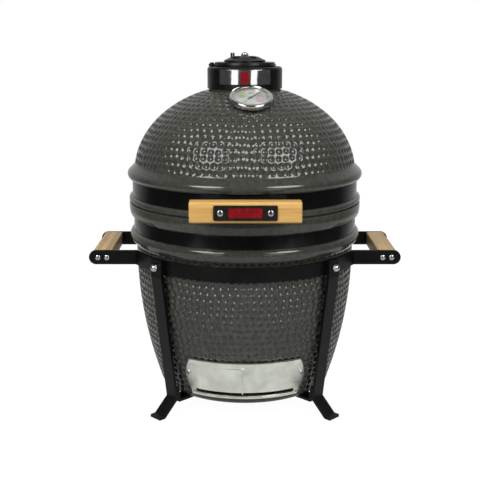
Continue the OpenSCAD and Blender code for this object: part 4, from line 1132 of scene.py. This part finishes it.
def mix_by(tree, ray, plain, special):
    """A shader that is the special one for one kind of ray."""
    path = tree.nodes.new("ShaderNodeLightPath")
    mix = tree.nodes.new("ShaderNodeMixShader")
    tree.links.new(path.outputs[ray], mix.inputs["Fac"])
    tree.links.new(plain, mix.inputs[1])
    tree.links.new(special, mix.inputs[2])
    return mix.outputs["Shader"]


def add_world():
    """White to the camera, a soft fill on the grill, and in gloss a pale wall behind and a dim room."""
    world = bpy.data.worlds.new("studio")
    bpy.context.scene.world = world
    world.use_nodes = True
    tree = world.node_tree
    soft = tree.nodes["Background"]
    wall = tree.nodes.new("ShaderNodeBackground")
    white = tree.nodes.new("ShaderNodeBackground")
    for background, strength in ((soft, FILL_LIGHT), (wall, 1), (white, 1)):
        background.inputs["Color"].default_value = (1, 1, 1, 1)
        background.inputs["Strength"].default_value = strength
    coords = tree.nodes.new("ShaderNodeTexCoord")
    side = tree.nodes.new("ShaderNodeVectorMath")
    side.operation = "DOT_PRODUCT"
    side.inputs[1].default_value = WALL_SIDE
    tree.links.new(coords.outputs["Generated"], side.inputs[0])
    spread(tree, side.outputs["Value"], wall.inputs["Strength"], ROOM_LIGHT, WALL_LIGHT,
           WALL_START, WALL_END)
    shown = mix_by(tree, "Is Glossy Ray", soft.outputs["Background"], wall.outputs["Background"])
    shown = mix_by(tree, "Is Transmission Ray", shown, wall.outputs["Background"])
    shown = mix_by(tree, "Is Camera Ray", shown, white.outputs["Background"])
    tree.links.new(shown, tree.nodes["World Output"].inputs["Surface"])


def add_glow(tree, strength):
    """A white shader that shines by itself."""
    glow = tree.nodes.new("ShaderNodeEmission")
    glow.inputs["Color"].default_value = (1, 1, 1, 1)
    glow.inputs["Strength"].default_value = strength
    return glow.outputs["Emission"]


def add_floor():
    """A pale floor that keeps the grill's shadow and is near white to the camera."""
    corners = [(x * FLOOR_HALF, y * FLOOR_HALF, 0) for x, y in ((-1, -1), (1, -1), (1, 1), (-1, 1))]
    mesh = make_mesh("floor", corners, [(0, 1, 2, 3)])
    floor = make_object("floor", mesh)
    made, tree, _ = start_material("floor", (176, 176, 176), 0.9, specular=0.0)
    plain = tree.nodes["Principled BSDF"].outputs["BSDF"]
    pale = tree.nodes.new("ShaderNodeMixShader")
    pale.inputs["Fac"].default_value = FLOOR_GLOW_SHARE
    tree.links.new(plain, pale.inputs[1])
    tree.links.new(add_glow(tree, FLOOR_GLOW), pale.inputs[2])
    shown = mix_by(tree, "Is Glossy Ray", plain, add_glow(tree, FLOOR_SHEEN))
    shown = mix_by(tree, "Is Camera Ray", shown, pale.outputs["Shader"])
    tree.links.new(shown, tree.nodes["Material Output"].inputs["Surface"])
    mesh.materials.append(made)


def add_studio():
    add_camera()
    add_softbox("softbox_left", "ELLIPSE", -39.5, 37, 1.9, 0.95, 1.05, 23)
    add_softbox("softbox_right", "ELLIPSE", 42, 39, 1.9, 0.95, 1.1, 23)
    add_softbox("strip_left", "RECTANGLE", -30, 5, 1.9, 0.66, 0.6, 1.8)
    add_softbox("strip_right", "RECTANGLE", 27, 5, 1.9, 0.6, 0.6, 1.7)
    add_softbox("softbox_rear", "RECTANGLE", 180, 42, 2.2, 1.2, 1, 20).visible_glossy = False
    add_world()
    add_floor()
    bpy.context.scene.view_settings.view_transform = "Standard"


add_studio()
add_ceramic()
add_wood()
add_fasteners()
add_springs()
add_draft_vent()
add_dial()
finish_nodes()
